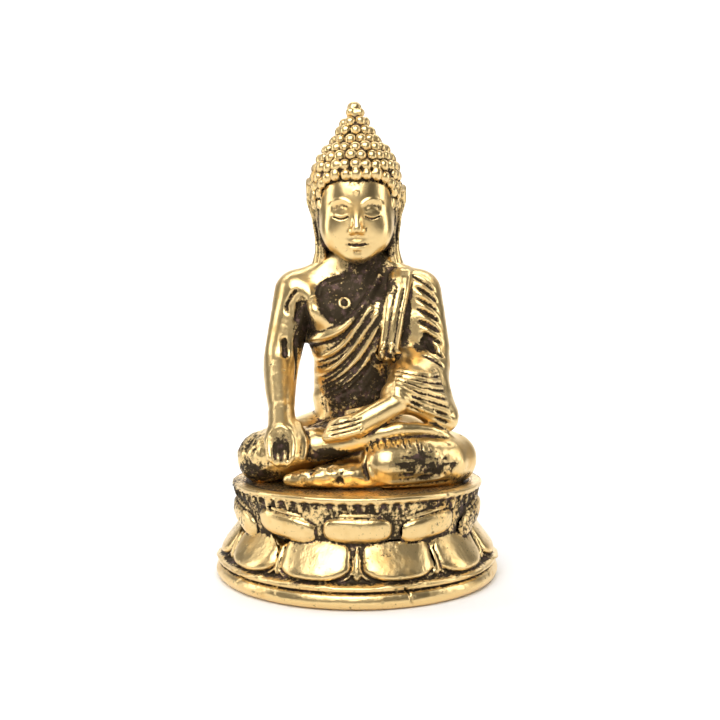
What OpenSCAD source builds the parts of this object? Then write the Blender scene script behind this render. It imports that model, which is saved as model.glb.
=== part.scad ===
// Seated Buddha statuette on a double-lotus pedestal, cast in brass.
// Millimetres. +Z up, the figure faces -Y, origin at the middle of the resting face.

/* [Pedestal] */
// Diameter of the foot
foot_w = 23.7; // [20:0.1:28.5]
// Height of the rolled foot moulding
foot_h = 1.9; // [1.4:0.1:2.4]
// Diameter of the pedestal at its waist
waist_w = 19.4; // [16.5:0.1:20.5]
// Height of the waist above the ground
waist_z = 4.7; // [4.2:0.1:5.2]
// Diameter of the seat rim
seat_w = 21.4; // [19:0.1:25.7]
// Height of the seat rim's top edge
seat_h = 7.9; // [7.4:0.1:9.5]
// Thickness of the seat slab
seat_t = 0.7; // [0.5:0.05:1]
// How far the rim's lip stands above the seat floor
lip_h = 0.4; // [0.2:0.05:0.6]
// Width of the rim's lip
lip_w = 0.7; // [0.5:0.05:1]
// Petals in each row
petal_count = 11; // [8:1:13]
// Gap between neighbouring petals
petal_gap = 0.75; // [0.5:0.05:1.2]
// How far a petal stands out of the pedestal
petal_t = 0.6; // [0.4:0.05:0.8]
// Stamens in the band under the rim
stamen_count = 66; // [40:1:72]
// Radius of one stamen
stamen_r = 0.34; // [0.25:0.01:0.4]

/* [Legs] */
// Width across the two knees
knee_span = 20.2; // [17.5:0.1:21]
// Radius of a knee
knee_r = 2.4; // [1.9:0.1:2.8]
// Radius of a shin under the robe
shin_r = 1.95; // [1.6:0.05:2.3]
// How far the shins reach forward of the body's axis
lap_reach = 7.0; // [6:0.1:7.8]
// Radius of a bare foot at its instep
foot_r = 1.05; // [0.8:0.05:1.3]

/* [Body] */
// Width across the shoulders
shoulder_w = 14.8; // [12.4:0.1:17.8]
// Height of the shoulder joints above the seat floor
shoulder_z = 16.3; // [13.6:0.1:19.5]
// Radius of a shoulder
shoulder_r = 2.3; // [1.9:0.05:2.7]
// Half width of the waist
waist_r = 3.9; // [3.3:0.1:4.4]
// Half width of the chest
chest_r = 4.7; // [4:0.1:5.3]
// Radius of the bare arm at the elbow
elbow_r = 1.55; // [1.3:0.05:1.85]
// Radius of the wrists
wrist_r = 1.05; // [0.85:0.05:1.25]
// Radius of the draped sleeve at the elbow
sleeve_r = 1.95; // [1.6:0.05:2.3]
// Radius of one finger
finger_r = 0.42; // [0.35:0.01:0.5]
// Thickness of the folded shoulder cloth
sash_t = 0.5; // [0.4:0.05:0.7]
// Width of the folded shoulder cloth
sash_w = 2.2; // [1.8:0.1:2.7]

/* [Head] */
// Forward tilt of the head, in degrees
head_tilt = 9; // [0:1:14]
// Lean of the head towards the right shoulder, in degrees
head_lean = 1; // [-3:0.5:3]
// Half width of the face
face_r = 3.05; // [2.6:0.05:3.6]
// Height of the head, from chin to crown
head_h = 8.9; // [7.6:0.1:10.6]
// Radius of the neck
neck_r = 1.95; // [1.6:0.05:2.3]
// Radius of the hair cap at the brow, without its curls
cap_r = 3.85; // [3.4:0.05:4.6]
// Height of the hair cone above the crown
cone_h = 4.1; // [3.4:0.1:4.9]
// Radius of one hair curl
curl_r = 0.42; // [0.34:0.01:0.46]
// Radius of the finial bead on the crown
finial_r = 0.5; // [0.42:0.02:0.6]
// Length of an ear with its long lobe
ear_h = 6.6; // [5.5:0.1:7.6]

/* [Hidden] */
$fn = 26;
// Smoothness of limbs, fingers, petals and the hair cap
limb_fn = 20;
finger_fn = 12;
petal_fn = 10;
cap_fn = 40;

brass = "goldenrod";
old_brass = "darkgoldenrod";

// Smoothness of the pedestal's rounds
round_fn = 90;

// Clearance between neighbouring pieces that only touch
side_gap = 0.05;

// Pedestal levels
foot_edge = 0.4;
bud_r = 0.34;
core_top = seat_h - seat_t;
floor_z = seat_h - lip_h;
foot_rad = foot_w / 2;
waist_rad = waist_w / 2;
seat_rad = seat_w / 2;
core_foot_rad = foot_rad - 1.1;
core_top_rad = seat_rad - 0.75;
// The upper petals stop under the stamens
petal_top = core_top - 2 * stamen_r - side_gap;

// Body levels and joints, measured from the seat floor
axis_y = 1.6;
hip = [3.0, axis_y + 0.9, floor_z + 3.1];
knee_x = knee_span / 2 - knee_r;
knee = [knee_x, -1.3, floor_z + knee_r + 0.05];
shoulder_x = shoulder_w / 2 - shoulder_r;
shoulder = [shoulder_x, axis_y, floor_z + shoulder_z];
elbow = [shoulder_x + 1.35, axis_y - 0.7, shoulder.z - 5.8];
ankle_y = shin_r - lap_reach;
// The right shin lies over the left ankle
right_ankle = [-0.9, ankle_y + 0.75, floor_z + 3.75];
right_toe = [6.2, ankle_y + 1.6, floor_z + 4.6];
// The right wrist lies over the right shin, its fingers in front of it
right_wrist = [-elbow.x + 0.35, ankle_y + 1.4, floor_z + 6.2];
right_palm = [-elbow.x + 0.5, ankle_y + 0.05, floor_z + 4.9];
left_wrist = [2.6, ankle_y + 0.7, floor_z + 6.45];
left_palm = [0.6, ankle_y + 0.35, floor_z + 6.1];

// The head's own frame stands on the neck at the level of the chin
chin_z = shoulder.z + 2.45;
neck_y = axis_y - 0.7;
crown = head_h;
brow = head_h * 0.64;
cap_bottom = 0.9;
cap_y = 0.25;
cone_top = crown + cone_h;
cap_tip_r = finial_r * 0.7;

function mid(a, b, t = 0.5) = a + (b - a) * t;
function mirrored(p) = [-p.x, p.y, p.z];

// Radius of the core at height z: out to the foot, in at the waist, out to the rim
function core_rad(z) = z < waist_z
    ? waist_rad + (core_foot_rad - waist_rad) * pow((waist_z - z) / (waist_z - foot_h), 1.6)
    : waist_rad + (core_top_rad - waist_rad) * pow((z - waist_z) / (core_top - waist_z), 0.8);

// How far the core leans outward from height a up to height b, in degrees
function core_lean(a, b) = atan2(core_rad(b) - core_rad(a), b - a);

// Radius of the hair cap at height z in the head's frame: nearly straight up to the
// crown, then a straight cone that ends under the finial
function cap_rad(z) = z < brow
    ? cap_r * (1 - 0.14 * pow((brow - z) / (brow - cap_bottom), 2))
    : z < crown
        ? cap_r * (1 - 0.14 * pow((z - brow) / (crown - brow), 2))
        : cap_tip_r + (cap_r * 0.86 - cap_tip_r) * (cone_top - z) / cone_h;

module ball(p, r, s = [1, 1, 1]) {
    translate(p) scale(s) sphere(r);
}

// A rounded limb through points [x, y, z, r]
module limb(points, fn = limb_fn) {
    for (i = [0 : len(points) - 2])
        hull() {
            ball([points[i].x, points[i].y, points[i].z], points[i][3], $fn = fn);
            ball([points[i + 1].x, points[i + 1].y, points[i + 1].z], points[i + 1][3], $fn = fn);
        }
}

function at(p, r) = [p.x, p.y, p.z, r];

module on_neck() {
    translate([0, neck_y, chin_z]) rotate([head_tilt, -head_lean, 0]) children();
}

module above(z, size = 60) {
    translate([-size / 2, -size / 2, z]) cube(size);
}

module below(z, size = 60) {
    translate([-size / 2, -size / 2, z - size]) cube(size);
}

// ---- Pedestal ----

module foot_moulding() {
    roll = foot_h * 0.42;
    color(brass) rotate_extrude($fn = round_fn) difference() {
        union() {
            square([foot_rad - roll, foot_h]);
            translate([foot_rad - roll, foot_h - roll]) circle(roll);
            square([foot_rad - foot_edge, foot_h - roll]);
            translate([foot_rad - foot_edge, foot_edge]) circle(foot_edge);
            translate([0, foot_edge]) square([foot_rad, foot_h - roll - foot_edge]);
        }
        translate([-1, -2]) square([1, foot_h + 4]);
    }
}

module core_form() {
    steps = 9;
    rotate_extrude($fn = round_fn)
        polygon(concat(
            [[0, foot_h]],
            [for (i = [0 : steps])
                let (z = foot_h + (core_top - foot_h) * i / steps) [core_rad(z), z]],
            [[0, core_top]]
        ));
}

module pedestal_core() {
    color(old_brass) core_form();
}

// Stands a child on the core's face at height z, share s of the way round, looking out
module on_core(s, z) {
    rotate([0, 0, 360 * s]) translate([0, -core_rad(z), z]) children();
}

// One petal: a thick pad w wide and h high, round at its ends, leaning by tilt
module petal(w, h, tilt, square_top) {
    end_r = h * 0.36;
    rotate([tilt, 0, 0]) scale([1, petal_t / end_r, 1]) hull() {
        for (side = [-1, 1]) {
            translate([side * (w / 2 - end_r), 0, h * (square_top ? 0.14 : 0.05)])
                sphere(end_r, $fn = petal_fn);
            translate([side * (w / 2 - end_r) * (square_top ? 0.62 : 0.86), 0, -h * 0.14])
                sphere(end_r, $fn = petal_fn);
        }
    }
}

module petal_row(z, h, tilt, offset, square_top) {
    w = 2 * PI * core_rad(z) / petal_count - petal_gap;
    for (i = [0 : petal_count - 1])
        on_core((i + offset) / petal_count, z) petal(w, h, tilt, square_top);
}

module lower_petal_form() {
    z = mid(foot_h, waist_z);
    lean = core_lean(foot_h, z) + 1.12;
    petal_row(z, (waist_z - foot_h + 0.235) / cos(lean), lean, 0.5, true);
}

module lower_petals() {
    color(brass) difference() {
        lower_petal_form();
        core_form();
        below(foot_h);
        above(waist_z);
    }
}

module petal_buds() {
    lean = core_lean(foot_h, foot_h + 1);
    z = foot_h + bud_r * cos(lean);
    color(brass) difference() {
        for (i = [0 : petal_count - 1])
            on_core(i / petal_count, z) rotate([lean, 0, 0]) hull() {
                translate([0, 0.05, 0]) sphere(bud_r, $fn = 12);
                translate([0, 0.05, 0.9]) sphere(0.1, $fn = 12);
            }
        core_form();
        lower_petal_form();
        below(foot_h);
    }
}

module upper_petals() {
    lean = core_lean(waist_z, petal_top);
    color(brass) difference() {
        petal_row(mid(waist_z, petal_top), (petal_top - waist_z + 0.3) / cos(lean), lean + 2, 0, false);
        core_form();
        below(waist_z + side_gap);
        above(petal_top);
    }
}

module stamen_band() {
    z = core_top - stamen_r - side_gap;
    color(old_brass) for (i = [0 : stamen_count - 1])
        on_core(i / stamen_count, z) rotate([90 + core_lean(z, core_top), 0, 0])
            cylinder(h = stamen_r, r = stamen_r * 0.8);
}

module seat_slab() {
    round_r = seat_t / 2;
    color(brass) difference() {
        rotate_extrude($fn = round_fn) {
            translate([0, core_top]) square([seat_rad - round_r, seat_t]);
            translate([seat_rad - round_r, core_top + round_r]) circle(round_r);
        }
        translate([0, 0, floor_z])
            cylinder(h = lip_h + 1, r = seat_rad - round_r - lip_w, $fn = round_fn);
    }
}

// ---- Legs and lap ----

module left_leg_form() {
    shin_mid = [knee_x - 3.0, ankle_y + 0.75, floor_z + shin_r + 0.1];
    hem = [1.5, ankle_y + 0.1, floor_z + shin_r - 0.1];
    limb([
        at(hip, 2.75),
        at(mid(hip, knee) + [0.3, 0, 0.1], 2.6),
        at(knee, knee_r),
        at(shin_mid, shin_r + 0.05),
        at(hem, shin_r - 0.15),
        [0.2, ankle_y, floor_z + foot_r + 0.15, foot_r + 0.1],
        [-2.0, ankle_y - 0.05, floor_z + foot_r, foot_r],
        [-4.3, ankle_y + 0.3, floor_z + foot_r * 0.8, foot_r * 0.8]
    ]);
    // Cloth of the robe between the thighs
    hull() {
        ball([0, -0.6, floor_z + 2.4], 2.4, [1.9, 1.5, 1]);
        ball([0, axis_y + 1.0, floor_z + 2.4], 2.5, [1.8, 1.2, 1]);
    }
}

module right_leg_form() {
    shin_mid = [-knee_x + 3.3, ankle_y + 1.25, floor_z + 2.7];
    heel = right_ankle + [1.5, 0.1, 0.45];
    limb([
        at(mirrored(hip), 2.75),
        at(mirrored(mid(hip, knee) + [0.3, 0, 0.1]), 2.6),
        at(mirrored(knee), knee_r),
        at(shin_mid, shin_r),
        at(mid(shin_mid, right_ankle, 0.6), shin_r - 0.2),
        at(right_ankle, shin_r - 0.5),
        at(heel, foot_r + 0.1),
        at(mid(heel, right_toe), foot_r - 0.1),
        at(right_toe, foot_r * 0.7)
    ]);
}

module left_leg() {
    color(brass) difference() {
        left_leg_form();
        below(floor_z);
    }
}

module right_leg() {
    color(brass) difference() {
        right_leg_form();
        left_leg_form();
        below(floor_z);
    }
}

// ---- Trunk and arms ----

module torso_form() {
    chest = [0, axis_y, shoulder.z - 3.2];
    belly = [0, axis_y + 0.2, floor_z + 7.4];
    hull() {
        ball([0, axis_y + 0.6, floor_z + 3.6], 2.9, [1.5, 1.05, 1]);
        ball(belly, 2.6, [waist_r / 2.6, 1, 1]);
    }
    hull() {
        ball(belly, 2.6, [waist_r / 2.6, 1, 1]);
        ball(chest, 2.95, [chest_r / 2.95, 1, 1]);
    }
    hull() {
        ball(chest, 2.95, [chest_r / 2.95, 1, 1]);
        ball(shoulder + [-0.4, 0, 0], shoulder_r - 0.1);
        ball(mirrored(shoulder + [-0.4, 0, 0]), shoulder_r - 0.1);
    }
    // Slope from the shoulders up to the neck
    for (side = [shoulder, mirrored(shoulder)])
        hull() {
            ball(side, shoulder_r - 0.1);
            ball([side.x * 0.42, axis_y - 0.1, shoulder.z + 1.9], 1.6);
        }
    hull() {
        ball(chest, 2.6);
        ball([0, axis_y - 0.2, shoulder.z + 1.6], neck_r + 0.35);
    }
}

module right_arm_form() {
    sh = mirrored(shoulder);
    el = mirrored(elbow);
    limb([
        at(sh, shoulder_r),
        at(mid(sh, el, 0.5), 1.9),
        at(el, elbow_r),
        at(mid(el, right_wrist, 0.45), (elbow_r + wrist_r) / 2),
        at(right_wrist, wrist_r)
    ]);
    right_hand_form();
}

// Palm over the knee, four fingers pointing down to the seat and the thumb beside them
module right_hand_form() {
    limb([at(right_wrist, wrist_r), at(right_palm, wrist_r + 0.1)]);
    reach = [0.1, -0.75, -2.5];
    for (i = [0 : 3]) {
        root = right_palm + [(i - 1.5) * finger_r * 1.65, -0.25, -0.6];
        limb([
            at(root, finger_r + 0.08),
            at(root + reach * (i == 0 || i == 3 ? 0.9 : 1), finger_r)
        ], finger_fn);
    }
    limb([
        at(right_palm + [1.0, 0.1, 0], finger_r + 0.1),
        at(right_palm + [1.25, -0.55, -1.9], finger_r)
    ], finger_fn);
}

module left_sleeve_form() {
    limb([
        at(shoulder, shoulder_r),
        at(mid(shoulder, elbow, 0.5) + [0.1, 0, 0], 2.05),
        at(elbow, sleeve_r),
        at(mid(elbow, left_wrist, 0.5), sleeve_r - 0.3),
        at(left_wrist, wrist_r + 0.2)
    ]);
    // Cloth that falls from the forearm over the thigh, and fills in beside the chest
    drape = [knee_x - 1.4, axis_y - 2.6, floor_z + 4.9];
    hull() {
        ball(elbow + [-0.1, -0.2, -0.4], sleeve_r - 0.15);
        ball(mid(elbow, left_wrist, 0.6), sleeve_r - 0.5);
        ball(drape, 1.1);
    }
    hull() {
        ball(drape, 1.1);
        ball(mid(elbow, left_wrist, 0.8), 1.1);
        ball([3.6, ankle_y + 2.2, floor_z + 5.0], 0.9);
    }
    hull() {
        ball(mid(shoulder, elbow, 0.3), 1.5);
        ball(mid(shoulder, elbow, 0.9) + [-1.8, 0, 0], 1.3);
    }
}

module left_hand_form() {
    limb([
        at(left_wrist, wrist_r - 0.1),
        at(left_palm, wrist_r - 0.1)
    ]);
    for (i = [0 : 3]) {
        root = left_palm + [-0.5, (i - 1.5) * finger_r * 1.45, -0.1];
        limb([
            at(root, finger_r + 0.05),
            at(root + [-1.6, -0.1, -0.25], finger_r),
            at(root + [-2.7, 0.05, -0.2], finger_r * 0.85)
        ], finger_fn);
    }
}

// Everything under the arms and hands, taken out of them
module seated_form() {
    torso_form();
    left_leg_form();
    right_leg_form();
}

module torso() {
    color(brass) difference() {
        torso_form();
        left_leg_form();
        right_leg_form();
        below(floor_z);
    }
}

module right_arm() {
    color(brass) difference() {
        right_arm_form();
        seated_form();
        below(floor_z);
    }
}

module left_sleeve() {
    color(brass) difference() {
        left_sleeve_form();
        seated_form();
        left_hand_form();
        right_arm_form();
    }
}

module left_hand() {
    color(brass) difference() {
        left_hand_form();
        seated_form();
    }
}

// Folded cloth hung over the left shoulder and down the chest
module shoulder_cloth_form() {
    x = shoulder_x - 1.9;
    top = shoulder.z + 2.9;
    front = axis_y - 2.15;
    path = [
        [x, axis_y + 2.0, shoulder.z - 0.5],
        [x, axis_y + 1.6, shoulder.z + 1.7],
        [x, axis_y + 0.5, top],
        [x, axis_y - 0.6, top],
        [x, axis_y - 1.7, shoulder.z + 1.7],
        [x, front - 0.05, shoulder.z - 0.4],
        [x - 0.1, front - 0.2, shoulder.z - 2.6],
        [x - 0.3, front - 0.2, shoulder.z - 5.0]
    ];
    edge = [sash_w / 2 - sash_t, 0, 0];
    for (i = [0 : len(path) - 2])
        hull() for (p = [path[i], path[i + 1]], side = [-1, 1])
            ball(p + side * edge, sash_t, $fn = finger_fn);
}

module shoulder_cloth() {
    color(brass) difference() {
        shoulder_cloth_form();
        torso_form();
        left_sleeve_form();
        head_form();
    }
}

// ---- Head ----

// Skull and face with the neck under them
module head_form() {
    jaw = [0, -1.15, head_h * 0.25];
    skull = [0, cap_y, head_h * 0.6];
    on_neck() {
        hull() {
            ball(skull, face_r, [1, 1.14, 1.1]);
            ball(jaw, face_r * 0.74, [1, 1, 1]);
            ball([0, -1.9, head_h * 0.1], 0.85);
        }
        hull() {
            ball([0, -2.85, head_h * 0.5], 0.22, $fn = finger_fn);
            ball([0, -3.25, head_h * 0.36], 0.34, $fn = finger_fn);
        }
    }
    hull() {
        translate([0, axis_y - 0.3, shoulder.z + 1.3]) cylinder(h = 0.4, r = neck_r + 0.3);
        on_neck() ball([0, 0.4, head_h * 0.3], neck_r);
    }
}

module cap_form() {
    steps = 12;
    levels = [for (i = [0 : steps]) cap_bottom + (cone_top - cap_bottom) * i / steps];
    on_neck() translate([0, cap_y, 0]) rotate_extrude($fn = cap_fn)
        polygon(concat(
            [[0, cap_bottom]],
            [for (z = levels) [cap_rad(z), z]],
            [[0, cone_top]]
        ));
}

// The hairline: a slanting cut that leaves the face clear in front
module face_opening() {
    on_neck() translate([0, cap_y - 1.2, brow]) rotate([-8, 0, 0])
        translate([-10, -10, -20]) cube([20, 10, 20.5]);
}

module hair_cap() {
    color(old_brass) difference() {
        cap_form();
        face_opening();
        head_form();
        torso_form();
    }
}

module head() {
    color(brass) difference() {
        head_form();
        torso_form();
    }
}

module ear(side) {
    top = [side * cap_r, 0.2, ear_h, 0.5];
    lobe = [side * (cap_r - 0.55), 0.1, ear_h - 5.9, 0.5];
    color(brass) difference() {
        on_neck() {
            limb([
                top,
                [side * (cap_r + 0.05), 0.75, ear_h - 0.7, 0.5],
                [side * (cap_r - 0.3), 0.5, ear_h - 2.4, 0.5],
                [side * (cap_r - 0.5), 0.2, ear_h - 4.2, 0.48],
                lobe
            ], finger_fn);
            limb([
                top,
                [side * (cap_r - 0.25), -0.35, ear_h - 0.7, 0.45],
                [side * (cap_r - 0.6), -0.45, ear_h - 2.4, 0.42],
                [side * (cap_r - 0.7), -0.3, ear_h - 4.2, 0.42],
                lobe
            ], finger_fn);
        }
        head_form();
        cap_form();
        curl_rows();
        torso_form();
        shoulder_cloth_form();
    }
}

module right_ear() {
    ear(-1);
}

module left_ear() {
    ear(1);
}

// One curl stands as a dome on the cap, at angle a round it and height z
module curl(a, z, r) {
    slope = atan2(cap_rad(z - 0.15) - cap_rad(z + 0.15), 0.3);
    rotate([0, 0, a]) translate([cap_rad(z), 0, z]) rotate([0, 90 - slope, 0])
        rotate_extrude() intersection() {
            circle(r);
            square(r);
        }
}

// Rows of curls from the nape to the finial. Below the brow they stop at the ears.
module curl_rows() {
    row_gap = curl_r * 1.86;
    rows = floor((cone_top - 0.5 - cap_bottom - curl_r) / row_gap);
    on_neck() translate([0, cap_y, 0]) for (row = [0 : rows]) {
        z = cap_bottom + curl_r + row * row_gap;
        r = cap_rad(z);
        n = floor(2 * PI * (r + curl_r * 0.25) / (curl_r * 2.05));
        for (i = [0 : n - 1]) {
            a = (i + (row % 2) / 2) * 360 / n - 90;
            behind = sin(a) > 0.12;
            if (r > curl_r * 1.4 && (behind || z > brow + curl_r * 0.7))
                curl(a, z, curl_r);
        }
    }
}

module hair_curls() {
    color(old_brass) curl_rows();
}

module finial() {
    color(brass) on_neck() translate([0, cap_y, cone_top]) rotate_extrude() {
        translate([0, -0.02]) square([finial_r * 0.62, finial_r]);
        intersection() {
            translate([0, finial_r * 0.85]) circle(finial_r);
            translate([0, 0]) square(finial_r * 2);
        }
    }
}

foot_moulding();
pedestal_core();
lower_petals();
petal_buds();
upper_petals();
stamen_band();
seat_slab();
left_leg();
right_leg();
torso();
right_arm();
left_sleeve();
left_hand();
shoulder_cloth();
head();
right_ear();
left_ear();
hair_cap();
hair_curls();
finial();
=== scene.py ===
"""Seated Buddha statuette, cast in brass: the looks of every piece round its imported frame."""

import math

import bmesh
import bpy
import numpy as np
from mathutils import Euler, Matrix, Vector


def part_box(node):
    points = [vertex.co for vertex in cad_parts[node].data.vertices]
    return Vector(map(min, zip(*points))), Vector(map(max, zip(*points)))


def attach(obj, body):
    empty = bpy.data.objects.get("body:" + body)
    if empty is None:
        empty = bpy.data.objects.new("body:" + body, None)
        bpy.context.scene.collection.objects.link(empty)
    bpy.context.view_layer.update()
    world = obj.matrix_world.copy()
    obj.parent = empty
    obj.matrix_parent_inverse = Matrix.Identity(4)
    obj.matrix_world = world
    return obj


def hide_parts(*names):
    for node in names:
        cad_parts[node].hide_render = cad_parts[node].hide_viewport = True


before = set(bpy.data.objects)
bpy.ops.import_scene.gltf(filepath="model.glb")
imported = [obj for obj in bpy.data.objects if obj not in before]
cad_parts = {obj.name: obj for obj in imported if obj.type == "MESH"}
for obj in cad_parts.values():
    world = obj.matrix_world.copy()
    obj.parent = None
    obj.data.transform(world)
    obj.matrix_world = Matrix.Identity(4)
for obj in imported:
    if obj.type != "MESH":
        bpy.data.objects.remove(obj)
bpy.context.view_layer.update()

bl_info = {
    "name": "Brass Buddha Statuette",
    "version": (1, 0, 0),
    "blender": (4, 5, 0),
    "location": "3D View > Sidebar > Statuette",
    "description": "Sculpts a small cast statuette piece by piece round its frame",
    "category": "Object",
}

# The sculpting is done in millimetres, and each finished piece is turned into metres.
MM = 0.001


def corners(node):
    """A frame node's lowest and highest corners, in millimetres."""
    low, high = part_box(node)
    return np.array(low) / MM, np.array(high) / MM


_, FOOT_HIGH = corners("foot_moulding")
_, CORE_HIGH = corners("pedestal_core")
SEAT_LOW, SEAT_HIGH = corners("seat_slab")
LEG_LOW, LEG_HIGH = corners("left_leg")
_, ARM_HIGH = corners("right_arm")


# ---------------------------------------------------------------- sizes and colours

def length(name, text, value):
    """A size property in millimetres, or a lamp's power."""
    return bpy.props.FloatProperty(name=name, description=text, default=value, min=0.0)


def number(name, text, value, low):
    """A whole-number property."""
    return bpy.props.IntProperty(name=name, description=text, default=value, min=low)


def colour(name, text, *rgb):
    """A colour property."""
    return bpy.props.FloatVectorProperty(
        name=name, description=text, subtype="COLOR", size=4, default=(*rgb, 1.0), min=0.0, max=1.0)


class StatuettePedestal(bpy.types.PropertyGroup):
    """Sizes of the double-lotus pedestal."""

    petals: number("Petals", "Petals in each row", 11, 6)
    stamens: number("Stamens", "Teeth in the band under the rim", 66, 20)
    petal_swell: length("Petal swell", "How far a petal stands out, in mm", 0.62)
    floor_drop: length("Floor drop", "Depth of the seat floor below the lip, in mm", 0.18)
    steps: number("Steps", "Steps round the pedestal", 840, 90)


class StatuetteFigure(bpy.types.PropertyGroup):
    """Sizes of the figure and of its robe."""

    grain: length("Clay grain", "Spacing of the sculpted surface, in mm", 0.12)
    face_grain: length("Face grain", "Spacing of the surface on the head, in mm", 0.075)
    fold_rise: length("Fold height", "Height of a robe fold, in mm", 0.26)
    fold_width: length("Fold width", "Half width of a robe fold, in mm", 0.4)
    curl_radius: length("Curl radius", "Radius of one hair curl, in mm", 0.42)


class StatuetteFinish(bpy.types.PropertyGroup):
    """Colours of the metal."""

    bright: colour("Bright brass", "Polished high places", 0.87, 0.63, 0.29)
    warm: colour("Warm brass", "Less polished places", 0.72, 0.44, 0.14)
    # The patina colours also paint the shade in broad hollows and the dark reflections on the
    # chest, the back of the right hand and the brow.
    dark: colour("Patina", "Brown-black patina in the hollows", 0.042, 0.028, 0.012)
    plum: colour("Plum patina", "Purple-brown tint in the patina", 0.12, 0.070, 0.058)


# ---------------------------------------------------------------- mesh to numbers and back

def read(items, key, width=3, kind=float):
    """What each of a mesh's items holds under a key, one row for each item."""
    flat = np.empty(len(items) * width, dtype=kind)
    items.foreach_get(key, flat)
    return flat.reshape(-1, width)


def read_points(mesh):
    """The mesh's vertices as an array of points."""
    return read(mesh.vertices, "co")


def read_normals(mesh):
    """The mesh's vertex normals."""
    return read(mesh.vertex_normals, "vector")


def read_edges(mesh):
    """The two ends of each edge."""
    return read(mesh.edges, "vertices", 2, np.int32)


def write_points(mesh, points):
    """Puts the points back into the mesh."""
    mesh.vertices.foreach_set("co", np.ascontiguousarray(points, dtype=np.float32).ravel())
    mesh.update()


def store(mesh, name, values):
    """Keeps a number or a vector for each vertex under a name."""
    kind, key = ("FLOAT", "value") if values.ndim == 1 else ("FLOAT_VECTOR", "vector")
    layer = mesh.attributes.get(name) or mesh.attributes.new(name, kind, "POINT")
    layer.data.foreach_set(key, np.ascontiguousarray(values, dtype=np.float32).ravel())


def neighbour_mean(values, edges):
    """Each vertex's mean over its neighbours."""
    one, two = edges[:, 0], edges[:, 1]
    count = np.bincount(edges.ravel(), minlength=len(values)).clip(1)
    if values.ndim == 1:
        total = np.bincount(one, values[two], len(values))
        return (total + np.bincount(two, values[one], len(values))) / count
    return np.stack([neighbour_mean(values[:, i], edges) for i in range(values.shape[1])], axis=1)


def relax(values, edges, times, share=0.5):
    """Smooths values over the surface."""
    for _ in range(times):
        values = values + share * (neighbour_mean(values, edges) - values)
    return values


# ---------------------------------------------------------------- shaping values

def ramp(x, start, end):
    """Rises smoothly from 0 at start to 1 at end."""
    t = np.clip((x - start) / (end - start), 0.0, 1.0)
    return t * t * (3.0 - 2.0 * t)


def bump(x):
    """A round bump: 1 in the middle and 0 from 1 on."""
    return np.clip(1.0 - x * x, 0.0, 1.0) ** 2


def soft_join(a, b, reach):
    """The nearer of two distances, rounded over where they meet."""
    h = np.clip(0.5 + 0.5 * (b - a) / reach, 0.0, 1.0)
    return b + (a - b) * h - reach * h * (1.0 - h)


def soft_carve(a, b, reach):
    """Distance a with form b taken out of it."""
    return -soft_join(-a, b, reach)


def lattice(cells, seed):
    """A repeatable number from 0 to 1 for each whole-number cell."""
    x, y, z = cells.T
    mixed = x * 73856093 ^ y * 19349663 ^ z * 83492791 ^ seed * 2654435761
    mixed = (mixed ^ (mixed >> 13)) * 1274126177 & 0x7FFFFFFF
    return ((mixed ^ (mixed >> 16)) & 0xFFFF) / 65535.0


def noise(points, size, seed):
    """Smooth noise from -1 to 1 with features of the given size."""
    q = points / size + 1000.0
    cell = np.floor(q).astype(np.int64)
    t = q - cell
    t = t * t * (3.0 - 2.0 * t)
    total = np.zeros(len(points))
    for corner in range(8):
        step = np.array([corner & 1, corner >> 1 & 1, corner >> 2 & 1])
        weight = np.prod(np.where(step, t, 1.0 - t), axis=1)
        total += weight * lattice(cell + step, seed)
    return total * 2.0 - 1.0


def rough(points, size, seed):
    """Noise with finer noise on it."""
    total = np.zeros(len(points))
    for i, (share, part) in enumerate(((0.6, 1.0), (0.3, 0.5), (0.15, 0.25))):
        total += share * noise(points, size * part, seed + i)
    return total


def outward(bearing):
    """Level directions away from the axis, from bearings in radians (0 in front)."""
    return np.stack([np.sin(bearing), -np.cos(bearing), np.zeros(len(bearing))], axis=1)


def upright(y, heights):
    """Places on an upright line at the heights."""
    return np.stack([np.zeros(len(heights)), np.full(len(heights), y), heights], axis=1)


# ---------------------------------------------------------------- lumps of clay

class Limb:
    """A round limb between two points, each with its own radius."""

    def __init__(self, a, a_radius, b, b_radius, blend=0.5):
        self.a = np.array(a, dtype=float)
        self.b = np.array(b, dtype=float)
        self.a_radius = a_radius
        self.b_radius = b_radius
        self.blend = blend

    def distance(self, p):
        """How far each point is outside the limb."""
        along = self.b - self.a
        off = p - self.a
        t = np.clip(off @ along / (along @ along), 0.0, 1.0)
        off = off - t[:, None] * along
        radius = self.a_radius + (self.b_radius - self.a_radius) * t
        return np.sqrt((off * off).sum(axis=1)) - radius

    def blank(self, bm):
        """Adds the limb's rough shape: a cone with a ball at each end."""
        along = Vector(self.b - self.a)
        turn = Vector((0, 0, 1)).rotation_difference(along).to_matrix().to_4x4()
        middle = Matrix.Translation(Vector((self.a + self.b) / 2)) @ turn
        bmesh.ops.create_cone(
            bm, cap_ends=True, segments=20, depth=along.length,
            radius1=self.a_radius, radius2=self.b_radius, matrix=middle)
        for end, radius in ((self.a, self.a_radius), (self.b, self.b_radius)):
            place = Matrix.Translation(Vector(end))
            bmesh.ops.create_icosphere(bm, subdivisions=3, radius=radius, matrix=place)


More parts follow.
